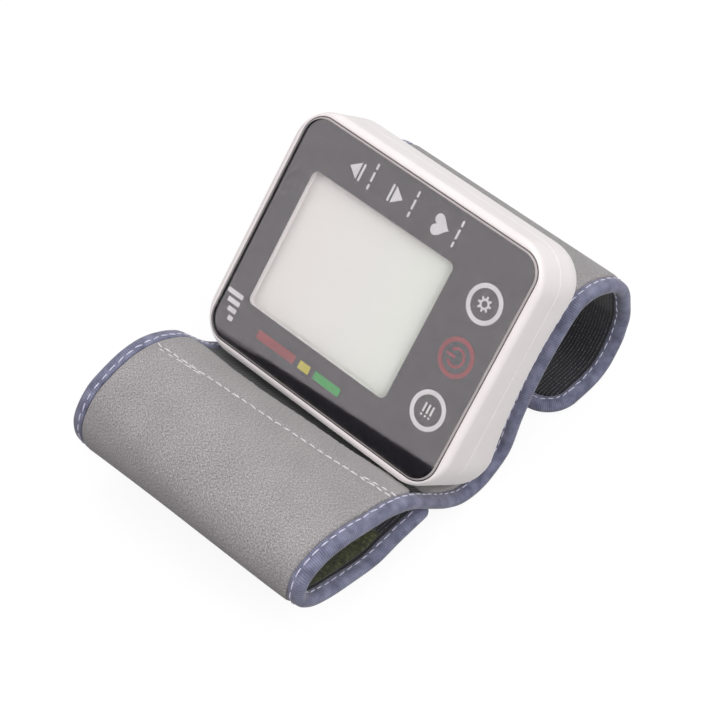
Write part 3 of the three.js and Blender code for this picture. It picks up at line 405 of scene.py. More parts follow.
def pattern_space(material, attribute=None, turn=0.0, scale=(1, 1, 1)):
    """Millimetres on the object, or along and across the cloth where an attribute gives them."""
    if attribute:
        source = add(material, "ShaderNodeAttribute", attribute_name=attribute).outputs["Vector"]
        size = scale
    else:
        source = add(material, "ShaderNodeTexCoord").outputs["Object"]
        size = [s / MM for s in scale]
    return add(material, "ShaderNodeMapping", {"Vector": source, "Rotation": (0, 0, turn), "Scale": size})


def moulded(name, colour, darker, roughness, grain=0.25, depth=0.006, **more):
    """Moulded plastic: an almost even colour, with the fine spark-eroded grain of the tool."""
    material, shader = finish(name, {"Base Color": linear(colour), "Roughness": roughness, "IOR": 1.5, **more})
    space = pattern_space(material)
    cloud = add(material, "ShaderNodeTexNoise", {"Vector": space, "Scale": 1 / 9, "Detail": 3.0})
    fine = add(material, "ShaderNodeTexNoise", {"Vector": space, "Scale": 1 / grain, "Detail": 2.0})
    return surface(material, shader, cloud, [(0.3, darker), (0.65, colour)], fine, depth)


def metal(name, colour, darker, roughness, brush=(1, 1, 1)):
    """Plated or drawn metal: fine marks and a little tarnish."""
    material, shader = finish(name, {"Metallic": 1.0, "Roughness": roughness})
    space = pattern_space(material, scale=brush)
    marks = add(material, "ShaderNodeTexNoise", {"Vector": space, "Scale": 3.0, "Detail": 5.0})
    low, high = roughness * 0.8, roughness * 1.3
    add(material, "ShaderNodeMapRange", {0: marks, 3: low, 4: high}, shader["Roughness"])
    return surface(material, shader, marks, [(0.25, darker), (0.7, colour)], marks, 0.01)


def cloth(name, sheen, roughness=0.95):
    """A fibre cloth: no shine but the pale bloom of its nap at grazing angles."""
    return finish(name, {
        "Roughness": roughness, "Specular IOR Level": 0.2, "Sheen Weight": sheen, "Sheen Roughness": 0.6,
    })


def fleece_material():
    """Short-napped loop fleece: grey fibre in tufts of 0.6 mm, paler at the tips and brushed one way."""
    material, shader = cloth("loop_fleece_grey", 0.25)
    plain = pattern_space(material, "cloth")
    brushed = pattern_space(material, "cloth", turn=np.radians(38), scale=(1, 0.65, 1))
    tufts = add(material, "ShaderNodeTexNoise", {"Vector": brushed, "Scale": 3.4, "Detail": 2.0, "Roughness": 0.6})
    fibre = add(material, "ShaderNodeTexNoise", {"Vector": plain, "Scale": 4.0, "Detail": 4.0, "Roughness": 0.8})
    cloud = add(material, "ShaderNodeTexNoise", {"Vector": plain, "Scale": 0.09, "Detail": 3.0})
    both = add(material, "ShaderNodeMath", {0: tufts, 1: fibre}, operation="ADD")
    drift = add(material, "ShaderNodeMath", {0: cloud, 1: 0.16, 2: both}, operation="MULTIPLY_ADD")
    spread = add(material, "ShaderNodeMapRange", {0: drift, 1: 0.80, 2: 1.36})
    greys = [(0.0, 0x6A6667), (0.36, 0x8F8B8C), (0.62, 0x9F9B9C), (1.0, 0xC0BCBD)]
    soft = add(material, "ShaderNodeBump", {"Height": tufts, "Distance": 0.12 * MM, "Strength": 0.75})
    return surface(material, shader, spread, greys, fibre, 0.1, 0.8, soft)


def knit_material(name, dark, light, painted_glint):
    """Warp-knitted nylon: wales 0.8 mm apart along the strap; the glints of its shiny loops are painted into its
    colour as pale specks.
    """
    material, shader = cloth(name, 0.12, 0.6)
    space = pattern_space(material, "cloth")
    wales = add(material, "ShaderNodeTexWave", {"Vector": space, "Scale": WAVE / 0.8, "Distortion": 0.5},
                bands_direction="Y").outputs[1]
    courses = add(material, "ShaderNodeTexWave", {"Vector": space, "Scale": WAVE / 0.7, "Distortion": 1.2},
                  bands_direction="X").outputs[1]
    rows = add(material, "ShaderNodeMath", {0: courses, 1: 0.45, 2: 0.55}, operation="MULTIPLY_ADD")
    loops = add(material, "ShaderNodeMath", {0: wales, 1: rows}, operation="MULTIPLY")
    speck = add(material, "ShaderNodeTexNoise", {"Vector": space, "Scale": 1.6, "Detail": 3.0})
    shine = add(material, "ShaderNodeMath", {0: loops, 1: speck}, operation="MULTIPLY")
    # The top stop is painted glint: pale specks that stand in for light caught by the loops.
    return surface(material, shader, shine, [(0.08, dark), (0.38, light), (0.72, painted_glint)], loops, 0.12, 0.9)


def tape_material():
    """Woven polyester binding: blue-grey, fine ribs across it every 0.52 mm, paler where its nap meets the light."""
    material, shader = cloth("woven_binding_blue_grey", 0.3, 0.75)
    space = pattern_space(material, "tape")
    ribs = add(material, "ShaderNodeTexWave", {"Vector": space, "Scale": WAVE / 0.52, "Distortion": 0.8,
               "Detail": 1.0}, bands_direction="X").outputs[1]
    slow = add(material, "ShaderNodeTexNoise", {"Vector": space, "Scale": 0.35, "Detail": 5.0})
    tone = add(material, "ShaderNodeMath", {0: ribs, 1: 0.2, 2: slow}, operation="MULTIPLY_ADD")
    blues = [(0.3, 0x46475A), (0.57, 0x6A6C84), (0.85, 0x888AA2)]
    return surface(material, shader, tone, blues, ribs, 0.025, 0.8)


def hook_material():
    """Hook tape seen from its face: olive, with the sparkle of its rows of hooks painted into its colour as pale
    yellow-green specks.
    """
    material, shader = cloth("hook_tape_olive", 0.1, 0.7)
    space = pattern_space(material, "cloth")
    cells = add(material, "ShaderNodeTexVoronoi", {"Vector": space, "Scale": 1.1, "Randomness": 0.85})
    speck = add(material, "ShaderNodeTexNoise", {"Vector": space, "Scale": 2.2, "Detail": 4.0})
    tone = add(material, "ShaderNodeMath", {0: cells, 1: speck}, operation="MULTIPLY")
    # The palest stop is painted sparkle; the darker stops are the tape's own olive.
    olive_and_painted_sparkle = [(0.05, 0x575A3E), (0.22, 0x3F4230), (0.5, 0x2A2C23)]
    return surface(material, shader, tone, olive_and_painted_sparkle, cells, 0.3, 0.9)


def thread_material(name, darker, colour):
    """Polyester sewing thread, two plies twisted: a slight gloss."""
    material, shader = finish(name, {"Roughness": 0.55, "Sheen Weight": 0.2})
    ply = add(material, "ShaderNodeTexNoise", {"Vector": pattern_space(material), "Scale": 3.0, "Detail": 2.0})
    return surface(material, shader, ply, [(0.3, darker), (0.7, colour)], ply, 0.05)


def lens_material():
    """Clear cast acrylic, lit in full through itself: its IOR is near air's, because the print has its gloss."""
    material, _ = finish("clear_acrylic", {
        "Base Color": (1, 1, 1, 1), "Roughness": 0.02, "IOR": 1.04, "Transmission Weight": 1.0,
    })
    nodes = material.node_tree.nodes
    passing = add(material, "ShaderNodeBsdfTransparent")
    ray = add(material, "ShaderNodeLightPath").outputs["Is Shadow Ray"]
    add(material, "ShaderNodeMixShader", {0: ray, 1: nodes["Principled BSDF"], 2: passing},
        nodes["Material Output"].inputs["Surface"])
    return material


def ink(name, colour, darker):
    """Ink on the back of the acrylic: its thickness drifts a little; it carries the polished face's gloss."""
    material, shader = finish(name, {"Roughness": 0.02, "Specular IOR Level": 0.93})
    dapple = add(material, "ShaderNodeTexNoise", {"Vector": pattern_space(material), "Scale": 0.15, "Detail": 1.0})
    add(material, "ShaderNodeValToRGB", {0: dapple}, shader["Base Color"], [(0.3, darker), (0.7, colour)])
    return material


def display_material():
    """The back film of a plain liquid crystal display: pale warm grey, a breath greener to one side."""
    material, shader = finish("display_back_film", {"Roughness": 0.6, "IOR": 1.5})
    space = pattern_space(material)
    part = add(material, "ShaderNodeSeparateXYZ", {0: space}).outputs[1]
    slow = add(material, "ShaderNodeMapRange", {0: part, 1: 30.0, 2: -20.0})
    fine = add(material, "ShaderNodeTexNoise", {"Vector": space, "Scale": 6.0, "Detail": 2.0})
    return surface(material, shader, slow, [(0.0, 0xB7B2B1), (1.0, 0xB4B7B1)], fine, 0.001)


def board_material():
    """Circuit board: glass fibre under green solder resist, the weave just showing."""
    material, shader = finish("solder_resist_green", {"Roughness": 0.35, "IOR": 1.5, "Coat Weight": 0.3})
    space = pattern_space(material)
    weave = add(material, "ShaderNodeTexChecker", {"Vector": space, "Scale": 1.4}).outputs[1]
    cloud = add(material, "ShaderNodeTexNoise", {"Vector": space, "Scale": 0.7, "Detail": 4.0})
    tone = add(material, "ShaderNodeMath", {0: weave, 1: 0.12, 2: cloud}, operation="MULTIPLY_ADD")
    return surface(material, shader, tone, [(0.3, 0x24502F), (0.75, 0x3A7549)], weave, 0.01)


WAVE = 0.3142  # a wave texture of this scale repeats every millimetre

shell_plastic = moulded("satin_abs_off_white", 0xF1EAEA, 0xEDE6E5, 0.36)
binding_tape = tape_material()
loop_fleece = fleece_material()
# Near-black knit for the strip beside the case: painted shade.
painted_shade_knit = knit_material("painted_shade_knit_black", 0x121114, 0x1D1C20, 0x2E2D31)
lining_knit = knit_material("lining_knit_black", 0x1A191D, 0x3B3A3F, 0x85848A)
hook_tape_olive = hook_material()
thread_lilac = thread_material("sewing_thread_lilac", 0xB9B7CE, 0xDAD8EA)
thread_pale = thread_material("sewing_thread_pale_grey", 0xC4C0C4, 0xE6E2E4)
lens_acrylic = lens_material()
print_black = ink("back_printed_black", 0x161518, 0x131215)
ink_white = ink("screen_ink_white", 0x9E9C9D, 0x969495)
ink_red = ink("screen_ink_red", 0x5A1218, 0x541116)
ink_brick = ink("screen_ink_brick", 0x5A1013, 0x540F12)
ink_yellow = ink("screen_ink_yellow", 0x857C14, 0x7F7712)
ink_green = ink("screen_ink_green", 0x0E6525, 0x0D6022)
display_film = display_material()
# The chamfer's pale matt tone is partly a ground edge's own paleness and partly painted highlight: the line of light
# the chamfer catches.
edge_painted_highlight = moulded("acrylic_edge_painted_highlight", 0xB2AAAA, 0xA8A0A0, 0.5)

# Each slot of the record and its finish; what a slot's pieces are made of names the material.
SLOT_FINISHES = {
    "shell_plastic": shell_plastic,
    "lens_acrylic": lens_acrylic,
    "lcd_glass": display_film,
    "frame_plastic": moulded("moulded_nylon_natural", 0xE4E2DC, 0xDAD7CF, 0.5),
    "black_rubber": moulded("silicone_rubber_black", 0x1E1E21, 0x19191B, 0.75),
    "black_plastic": moulded("moulding_compound_black", 0x202023, 0x1A1A1C, 0.5),
    "board": board_material(),
    "cell_sleeve": moulded("printed_cell_sleeve_blue", 0x3A6EA5, 0x33628F, 0.3),
    "contact_steel": metal("nickel_plated_strip", 0xB4B4B0, 0x96968F, 0.32),
    "spring_steel": metal("drawn_spring_wire", 0xBDC0C4, 0x8F9296, 0.3),
    "motor_steel": metal("zinc_plated_can", 0xB9BCC0, 0x9C9FA4, 0.38),
    "screw_steel": metal("zinc_plated_screw", 0x9FA1A5, 0x7E8084, 0.35),
    "silicone": moulded("silicone_tube_milky", 0xD9D8D2, 0xCFCEC7, 0.45, **{"Subsurface Weight": 0.15}),
    "fleece_fabric": loop_fleece,
    "lining_fabric": lining_knit,
    "curler_sheet": moulded("polypropylene_sheet", 0xCFCFCA, 0xC6C6C0, 0.5),
    "bladder_rubber": moulded("coated_bladder_grey", 0x55585E, 0x4C4F54, 0.6),
    "hook_fabric": hook_tape_olive,
    "binding_fabric": binding_tape,
}


def dress_frame():
    """Every CAD node takes the finish of its slot in the record."""
    slots = {part["node"]: part["material_slot"] for part in frame["record"]["subparts"]}
    for name, thing in frame["nodes"].items():
        if not thing.data.materials:
            thing.data.materials.append(None)
        for k in range(len(thing.data.materials)):
            thing.data.materials[k] = SLOT_FINISHES[slots[name]]


# The case


def front_frame():
    """The front housing: from its outline to the lens seat along a quarter ellipse, down to the deck's window."""
    outer, bevel, inner = (case_outline(inset, HEAD_RADIUS - inset) for inset in (0, SEAM_BEVEL, WALL))
    seat = lens_outline(-LENS_GAP)
    window = rounded_outline(*DECK_WINDOW, DISPLAY_X, DISPLAY_Y)
    edge = SEAM / 2 - PARTING
    levels = [(bevel, edge), (outer, edge + SEAM_BEVEL)]
    for t in np.linspace(0, np.pi / 2, 9):
        share = RIM_SHARE * (1 - np.cos(t))
        levels.append((outer * (1 - share) + seat * share, -RIM_DROP - RIM_ROUNDING * (1 - np.sin(t))))
    levels += [(seat, -RIM_DROP - 0.04), (seat, DECK_FRONT), (window, DECK_FRONT), (window, DECK_BACK)]
    made = piece("front_frame", stacked(levels + [(inner, DECK_BACK), (inner, edge)], closed=True), shell_plastic)
    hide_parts("front_housing")


def shell_loop(inset, z, radius):
    """One ring of the rear shell: the outline drawn in and sunk by the share of the arch at its level."""
    outline = case_outline(inset, radius, straight=16)
    share = np.clip((-PARTING - z) / (BACK_DEPTH - HEAD_RADIUS - PARTING), 0, 1)
    return at_level(outline, z - share * (back_at(outline[:, 0]) - BACK_DEPTH))


def shell_skin(wall, top):
    """Rings from the parting line down a straight wall, round the back edge and in over the arched back."""
    radius = HEAD_RADIUS - wall
    start = HEAD_RADIUS - BACK_DEPTH
    rings = [shell_loop(wall, top, radius)]
    if wall == 0:
        rings = [shell_loop(SEAM_BEVEL, top, radius - SEAM_BEVEL), shell_loop(0, top - SEAM_BEVEL, radius)]
    rings += [shell_loop(wall, z, radius) for z in np.linspace(-9.2, start + 0.4, 4)]
    for t in np.linspace(0, np.pi / 2, 13):
        rings.append(shell_loop(wall + radius * (1 - np.cos(t)), start - radius * np.sin(t), radius * np.cos(t)))
    last = rings[-1]
    for size in (0.85, 0.65, 0.45, 0.25, 0.1, 0.02):
        flat = last[:, :2] * size
        rings.append(at_level(flat, wall - back_at(flat[:, 0])))
    return rings


def box_shape(low, high):
    """A plain box for cutting, in the panel's frame."""
    (x0, y0, z0), (x1, y1, z1) = low, high
    loop = np.array([(x0, y0), (x1, y0), (x1, y1), (x0, y1)], float)
    return stacked([(loop, z0), (loop, z1)])


def carve(thing, cutters, operation="DIFFERENCE"):
    """Takes the cutters, joined in one mesh of separate bodies, out of a piece, or keeps what lies in them."""
    tool = piece(thing.name + "_cutter", gather(cutters), shell_plastic, body=None)
    step = thing.modifiers.new("carve", "BOOLEAN")
    step.operation, step.solver, step.object = operation, "EXACT", tool
    evaluated = thing.evaluated_get(bpy.context.evaluated_depsgraph_get())
    cut = bpy.data.meshes.new_from_object(evaluated)
    thing.modifiers.clear()
    thing.data = cut
    thing.data.polygons.foreach_set("use_smooth", np.ones(len(cut.polygons), bool))
    thing.data.set_sharp_from_angle(angle=np.radians(35))
    bpy.data.objects.remove(tool)


def back_shell():
    """The rear housing: outer and inner skins of rings, open at the top, joined round the wall's edge."""
    top = -PARTING - SEAM / 2
    outer, inner = shell_skin(0, top), shell_skin(WALL, top)
    loops = [on_case(loop) for loop in outer[::-1] + inner]
    made = piece("back_shell", loft(loops), shell_plastic)
    side = DOOR_HALF + DOOR_GAP
    door = box_shape((-side, HALF_Y - HEAD_RADIUS - 0.2, -DOOR_BOTTOM - DOOR_GAP), (side, HEAD_HEIGHT, 0))
    bars = [circle(x, y, WELL_RADIUS, full_turn(24)) for x, y in BOSSES]
    wells = [stacked([(bar, PAST_BACK), (bar, PAST_WALL)]) for bar in bars]
    slots = []
    for x in (-TAB_X - SLOT_SHIFT, TAB_X + SLOT_SHIFT):
        for y in (-TAB_Y, TAB_Y):
            low, high = (x - SLOT_HALF_X, y - SLOT_HALF_Y, PAST_BACK), (x + SLOT_HALF_X, y + SLOT_HALF_Y, SLOT_TOP)
            slots.append(box_shape(low, high))
    carve(made, [door, *wells, *slots])
    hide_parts("rear_housing")


def screw_wells():
    """Four turned cups in the rear housing: a tube from the back to a seat with a hole for the screw."""
    end, bore = -BACK_DEPTH - 3, WELL_RADIUS + 0.02
    profile = [(HOLE_RADIUS, CUP_TOP), (CUP_RADIUS, CUP_TOP), (CUP_RADIUS, end), (bore, end), (bore, CUP_SEAT)]
    profile.append((HOLE_RADIUS, CUP_SEAT))
    cups = [stacked([(circle(x, y, r, full_turn(32)), z) for r, z in profile], closed=True) for x, y in BOSSES]
    made = piece("screw_wells", gather(cups), shell_plastic)
    carve(made, [loft([on_case(loop) for loop in shell_skin(0.4, -PARTING)])], "INTERSECT")
    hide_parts("rear_housing")


def lid_skin(across, run, wall):
    """The door's skin: straight down the case's end, then round its back edge, grooved where the thumb pushes."""
    radius = HEAD_RADIUS - wall
    start = HEAD_RADIUS - BACK_DEPTH
    top = -PARTING - SEAM / 2
    straight = top - start
    turn = np.clip((run - straight) / HEAD_RADIUS, 0, np.pi / 2)
    y = HALF_Y - HEAD_RADIUS + radius * np.cos(turn)
    z = np.where(run < straight, top - run, start - radius * np.sin(turn))
    share = np.clip((-PARTING - z) / (BACK_DEPTH - HEAD_RADIUS - PARTING), 0, 1)
    if wall == 0:
        middles = [GROOVE_START + GROOVE_PITCH * k for k in range(1, GROOVES + 1)]
        dips = sum(np.exp(-(((run - middle) / GROOVE_HALF) ** 4)) for middle in middles)
        fading = 1 / (1 + np.exp((np.abs(across) - GROOVE_REACH) / 0.12))
        y = y - GROOVE_DEPTH * dips * fading
    return np.stack([across + 0 * y, y, z - share * (back_at(across) - BACK_DEPTH)], -1)


def battery_lid():
    """The sliding door with its grooves and the two tongues that hook under the case's edge."""
    straight = BACK_DEPTH - HEAD_RADIUS - PARTING - SEAM / 2
    share, across = np.meshgrid(np.linspace(0, 1, 110), np.linspace(-DOOR_HALF, DOOR_HALF, 150), indexing="ij")
    # Its lower edge is level, so over the arch it ends at another turn of the rounded back edge.
    run = share * (straight + HEAD_RADIUS * np.arcsin((DOOR_BOTTOM + HEAD_RADIUS - back_at(across)) / HEAD_RADIUS))
    parts = [slab(on_case(lid_skin(across, run, 0)), on_case(lid_skin(across, run, WALL)))]
    for x in (-TAB_X, TAB_X):
        tongue = rounded_outline(TONGUE_WIDTH, TONGUE_DEPTH, 0.5, x, HALF_Y - WALL - 1.1, corner=4, straight=1)
        parts.append(stacked([(tongue, TONGUE_LOW), (tongue, TONGUE_HIGH)]))
    made = piece("battery_lid", gather(parts), shell_plastic, body="battery_door")
    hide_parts("battery_door")


def lens_plate():
    """The clear plate with its matt chamfer, whose pale tone is painted highlight, the black print on its back and a
    black ring in the gap round it, which is painted shade.
    """
    def rings(section, **options):
        return stacked([(lens_outline(inset, corner=20), z) for inset, z in section], **options)
    plate = [(0.05, -LENS_THICKNESS), (0, 0.05 - LENS_THICKNESS), (0, -LENS_CHAMFER - 0.04)]
    plate += [(0.03, 0.03 - LENS_CHAMFER), (LENS_CHAMFER - 0.03, -0.03), (LENS_CHAMFER + 0.04, 0)]
    made = piece("lens_plate", rings(plate), lens_acrylic, sharp=20)
    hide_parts("front_lens")
    window = rounded_outline(WINDOW_WIDTH, WINDOW_HEIGHT, WINDOW_RADIUS, DISPLAY_X, DISPLAY_Y, corner=20)
    field = lens_outline(PRINT_INSET, corner=20)
    printed = [(field, PRINT_TOP), (window, PRINT_TOP), (window, PRINT_BACK), (field, PRINT_BACK)]
    near, far = -0.03, 0.05 - LENS_GAP
    # A black ring down the gap between lens and housing: painted shade.
    gap_shade_ring = rings([(near, GAP_SHADE_TOP), (far, GAP_SHADE_TOP), (far, GAP_SHADE_BACK), (near, GAP_SHADE_BACK)], closed=True)
    film = piece("panel_print", gather([stacked(printed, closed=True), gap_shade_ring]), print_black)
    # The chamfer ring: its pale tone is painted highlight.
    ground = [(-0.012, -LENS_CHAMFER), (LENS_CHAMFER, 0.012), (LENS_CHAMFER, -0.03), (0.03, -LENS_CHAMFER)]
    chamfer = piece("lens_edge", rings(ground, closed=True), edge_painted_highlight)
    for part in (film, chamfer):
        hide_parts("front_lens")


def display_tray():
    """The display under the window: a stepped block whose face is sunk inside a soft rim."""
    ring = [
        (41.2, 49.7, 0.5, -3.4), (41.2, 49.7, 0.5, -2.3), (38, 46.5, 0.5, -2.3), (38, 46.5, 0.5, -1.4),
        (37.6, 46.1, 0.7, -1.2), (36.6, 45.1, 1.2, -1.2), (36.2, 44.7, 1.6, -1.4), (36.0, 44.5, 1.7, -2.4),
        (35.4, 43.9, 1.6, -2.7),
    ]
    steps = stacked([(rounded_outline(w, h, r, DISPLAY_X, DISPLAY_Y), z) for w, h, r, z in ring])
    made = piece("display_tray", steps, display_film)
    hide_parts("lcd_module")


# Marks on the panel

INK_LOW, INK_HIGH = -0.026 - LENS_THICKNESS, -0.01 - LENS_THICKNESS  # between the print and the clear plate
SIGN_COLUMN = 22.6  # the column of the arrows and the heart; the level bar's is its mirror image


def ring_mark(x, y, radius, line, start=0.0, end=2 * np.pi, steps=64):
    """A flat ring or part of one."""
    whole = end - start >= 2 * np.pi - 1e-6
    t = np.linspace(start, end, steps, endpoint=not whole)
    low, high = radius - line / 2, radius + line / 2
    edges = [(low, INK_LOW), (high, INK_LOW), (high, INK_HIGH), (low, INK_HIGH)]
    loops = np.array([at_level(circle(x, y, r, t), z) for r, z in edges])
    if whole:
        return loft(on_case(loops), closed=True)
    return loft(on_case(loops.transpose(1, 0, 2)))


def flat_mark(outline):
    """A flat shape of any outline."""
    outline = np.array(outline, float)
    return stacked([(outline, INK_LOW), (outline, INK_HIGH)])


def bar_mark(x, y, width, height, radius=0.12):
    """A flat bar with eased corners."""
    radius = min(radius, width / 2.1, height / 2.1)
    return flat_mark(rounded_outline(width, height, radius, x, y, corner=4, straight=1))


def heart_outline(x, y, size):
    """The classic heart curve: x goes as sin cubed, y as a short cosine series."""
    t = np.linspace(0, 2 * np.pi, 48, endpoint=False)
    across = 16 * np.sin(t) ** 3
    up = 13 * np.cos(t) - 5 * np.cos(2 * t) - 2 * np.cos(3 * t) - np.cos(4 * t)
    return np.stack([x + size * across / 32, y + size * up / 32], -1)


def sign_at(x, y, parts):
    """Bars of a sign, each by its place from the sign's middle and its size."""
    return [bar_mark(x + dx, y + dy, width, height) for dx, dy, width, height in parts]


def cog_sign(x, y):
    """A small cog: a ring with eight teeth."""
    parts = [ring_mark(x, y, 1.0, 0.5, steps=32)]
    tooth = np.array([(1.15, -0.3), (1.85, -0.22), (1.85, 0.22), (1.15, 0.3)])
    for turn in np.arange(8) * np.pi / 4:
        c, s = np.cos(turn), np.sin(turn)
        spots = np.stack([x + tooth[:, 0] * c - tooth[:, 1] * s, y + tooth[:, 0] * s + tooth[:, 1] * c], -1)
        parts.append(flat_mark(spots))
    return parts


def arrow_sign(x, y, way):
    """An arrowhead up or down over a bar."""
    arrow = np.array([(-2.1, -0.9 * way), (2.1, -0.9 * way), (0, 1.9 * way)]) + [x, y]
    return [flat_mark(arrow[::way]), bar_mark(x, y - 1.7 * way, 4.2, 0.6)]


def panel_marks():
    """Plain generic signs: key rings with a list, a power sign and a cog, arrows, a heart, rules, a level bar."""
    white = [ring_mark(side * KEY_PITCH, KEY_Y, RING_RADIUS, RING_LINE) for side in (-1, 1)]
    lines = [(0.35, rise, 2.3, 0.5) for rise in (-1.1, 0, 1.1)] + [(-1.45, rise, 0.5, 0.5) for rise in (-1.1, 0, 1.1)]
    white += sign_at(-KEY_PITCH, KEY_Y, lines)
    white += cog_sign(KEY_PITCH, KEY_Y)
    white += arrow_sign(SIGN_COLUMN, 18.2, 1) + arrow_sign(SIGN_COLUMN, 5.7, -1)
    white.append(flat_mark(heart_outline(SIGN_COLUMN, -7.6, 5.2)))
    for y in (13.4, 0.8, -12.6):
        white += sign_at(23.2, y, [(-2.5, 0, 1.3, 0.55), (0, 0, 2.4, 0.55), (2.6, 0, 1.5, 0.55)])
    white += sign_at(-23.6, 30.2, [(1.9 * k, 0.55 * k, 1.15, 1.5 + 1.1 * k) for k in range(4)])
    red = [ring_mark(0, KEY_Y, RING_RADIUS, RING_LINE)]
    red.append(ring_mark(0, KEY_Y, 2.05, 0.62, np.radians(125), np.radians(415), 40))
    red.append(bar_mark(0, KEY_Y + 1.5, 0.62, 2.5))
    groups = {
        "signs_white": (white, ink_white),
        "power_sign": (red, ink_red),
        "level_high": ([bar_mark(-SIGN_COLUMN, 15.65, 2.2, 12.1)], ink_brick),
        "level_middle": ([bar_mark(-SIGN_COLUMN, 6.55, 2.0, 3.3)], ink_yellow),
        "level_low": ([bar_mark(-SIGN_COLUMN, -0.65, 2.0, 8.1)], ink_green),
    }
    for name, (parts, colour) in groups.items():
        piece(name, gather(parts), colour)


# The cuff


def corner_at(along):
    """The radius of the cuff's corners: small at the end that is tucked in, larger at the free end."""
    return np.where(along < STRAP / 2, START_RADIUS, CUFF_RADIUS)


def inside(along, across):
    """How far a point lies inside the cuff's outline, a long rectangle with round corners."""
    radius = corner_at(along)
    past_x = np.abs(along - STRAP / 2) - (STRAP / 2 - radius)
    past_y = np.abs(across) - (CUFF_WIDTH / 2 - radius)
    corner = np.hypot(np.maximum(past_x, 0), np.maximum(past_y, 0))
    return radius - corner - np.minimum(np.maximum(past_x, past_y), 0)


def half_width(along, inset):
    """Half the cuff's width at a length, drawn in by the inset: full, and an arc over each rounded end."""
    radius = corner_at(along)
    reach = radius - inset
    back = np.clip(radius - np.minimum(along, STRAP - along), 0, reach)
    return CUFF_WIDTH / 2 - radius + np.sqrt(np.maximum(reach**2 - back**2, 0))


EDGE_STEPS = np.array([0, 0.9, 1.8, 2.3, 2.6, 2.8, 3.0, 3.25, 3.6, 4.2, 5.2, 6.4])
EDGE_INSET = TAPE_THICKNESS + FIT


def cloth_grid(start, end, pitch, columns, open_start=False, open_end=False):
    """Along and across places of a sheet: rows dense near the cuff's bound ends, columns dense near its sides."""
    low = EDGE_INSET + EDGE_STEPS if open_start else np.array([start])
    high = STRAP - EDGE_INSET - EDGE_STEPS[::-1] if open_end else np.array([end])
    count = int((high[0] - low[-1]) / pitch)
    rows = np.concatenate([low[:-1], np.linspace(low[-1], high[0], count), high[1:]])
    width = half_width(rows, EDGE_INSET)[:, None]
    core = np.linspace(-1, 1, columns)[None, :] * (width - EDGE_STEPS[-1])
    sides = width - EDGE_STEPS[:-1]
    across = np.hstack([-sides, core, sides[:, ::-1]])
    return rows[:, None] + 0 * across, across


def risen(distance, low, high, start, width):
    """From low to high by a quarter ellipse that starts at a distance from the edge."""
    t = np.clip((distance - start) / width, 0, 1)
    return low + (high - low) * np.sqrt(1 - (1 - t) ** 2)


CUT_ACROSS = [-35, -29, -24, -19, -12, -3, 3, 8.5, 14, 19.5, 24, 28.5, 35]
CUT_ALONG = [86.0, 86.3, 86.4, 85.2, 83.8, 82.9, 81.6, 80.0, 79.0, 77.8, 78.0, 77.3, 72.8]
SEAM_ACROSS = [-31, -20.5, -7, 6, 19, 30]
SEAM_ALONG = [78.6, 76.4, 73.1, 69.5, 65.4, 62.4]


def cut_edge(across):
    """Where the fleece flap is cut off beside the case."""
    return np.interp(across, CUT_ACROSS, CUT_ALONG)


def seam_line(across):
    """Where the cross seam holds the flap."""
    return np.interp(across, SEAM_ACROSS, SEAM_ALONG)


def layer(name, along, across, top, bottom, material, sharp):
    """A layer of the cuff from its grid and the levels of its two faces; it keeps its places for its pattern."""
    shape = slab(on_cuff(along, across, top), on_cuff(along, across, bottom))
    flat = np.stack([along, across, 0 * along], -1).reshape(-1, 3)
    return piece(name, shape, material, sharp=sharp, marks={"cloth": np.vstack([flat, flat])}, mirrored=False)


def cloth_piece(name, along, across, top, bottom, material, node):
    """A sheet of the cuff's full width, in place of the CAD node that it hides."""
    made = layer(name, along, across, top, bottom, material, 50)
    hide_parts(node)


def fleece_flap():
    """The fleece over the left lobe: full and soft, dipped along the seam, frayed where it is cut."""
    along, across = cloth_grid(0, 90, 0.8, 120, open_start=True)
    limit = cut_edge(across) + np.interp(across, np.linspace(-36, 36, 150), rng.normal(0, 0.2, 150))
    along = along + np.clip((along - 45) / 45, 0, 1) * (limit - 90)
    top = risen(inside(along, across), FLANGE, FLEECE_FACE, TAPE_FACE + 0.05, 0.9)
    from_cut = limit - along
    top = CORE + 0.3 + (top - CORE - 0.3) * np.sqrt(np.clip(from_cut / 0.7 + 0.12, 0, 1))
    top = top - 0.35 * np.exp(-(((along - seam_line(across)) / 0.75) ** 2)) * (np.abs(across) < 31)
    bottom = CORE + np.clip(0.45 - from_cut / 20, 0, 0.4) * (inside(along, across) > 5)
    cloth_piece("fleece_flap", along, across, top, bottom, loop_fleece, "cuff_fleece")


def painted_shade_strip():
    """A near-black knit strip under the flap, shown between the flap's cut edge and the case: painted shade for the
    deep gap there.
    """
    along, across = cloth_grid(SHADE_STRIP_START, SHADE_STRIP_END, 1.0, 60)
    rise = 0.35 * np.clip((along - cut_edge(across) + 1.5) / 3, 0, 1)
    top = risen(inside(along, across), 0.42, 0.5 + rise, TAPE_FACE - 1.6, 2.4)
    hidden = np.clip((cut_edge(across) + 1.0 - along) / 3, 0, 1)
    top = top * (1 - hidden) + (CORE + 0.05) * hidden
    cloth_piece("painted_shade_strip", along, across, top, CORE - 0.03, painted_shade_knit, "cuff_fleece")


def fleece_tail():
    """The fleece from under the case over the right lobe to the free end."""
    start = SHADE_STRIP_END - LAP
    along, across = cloth_grid(start, STRAP, 0.8, 80, open_end=True)
    top = risen(inside(along, across), FLANGE, FLEECE_FACE, TAPE_FACE + 0.05, 0.9)
    top = np.where(along < SHADE_STRIP_END, np.minimum(top, CORE + 0.5 + (along - start) * 0.3), top)
    cloth_piece("fleece_tail", along, across, top, CORE + 0.05, loop_fleece, "cuff_fleece")


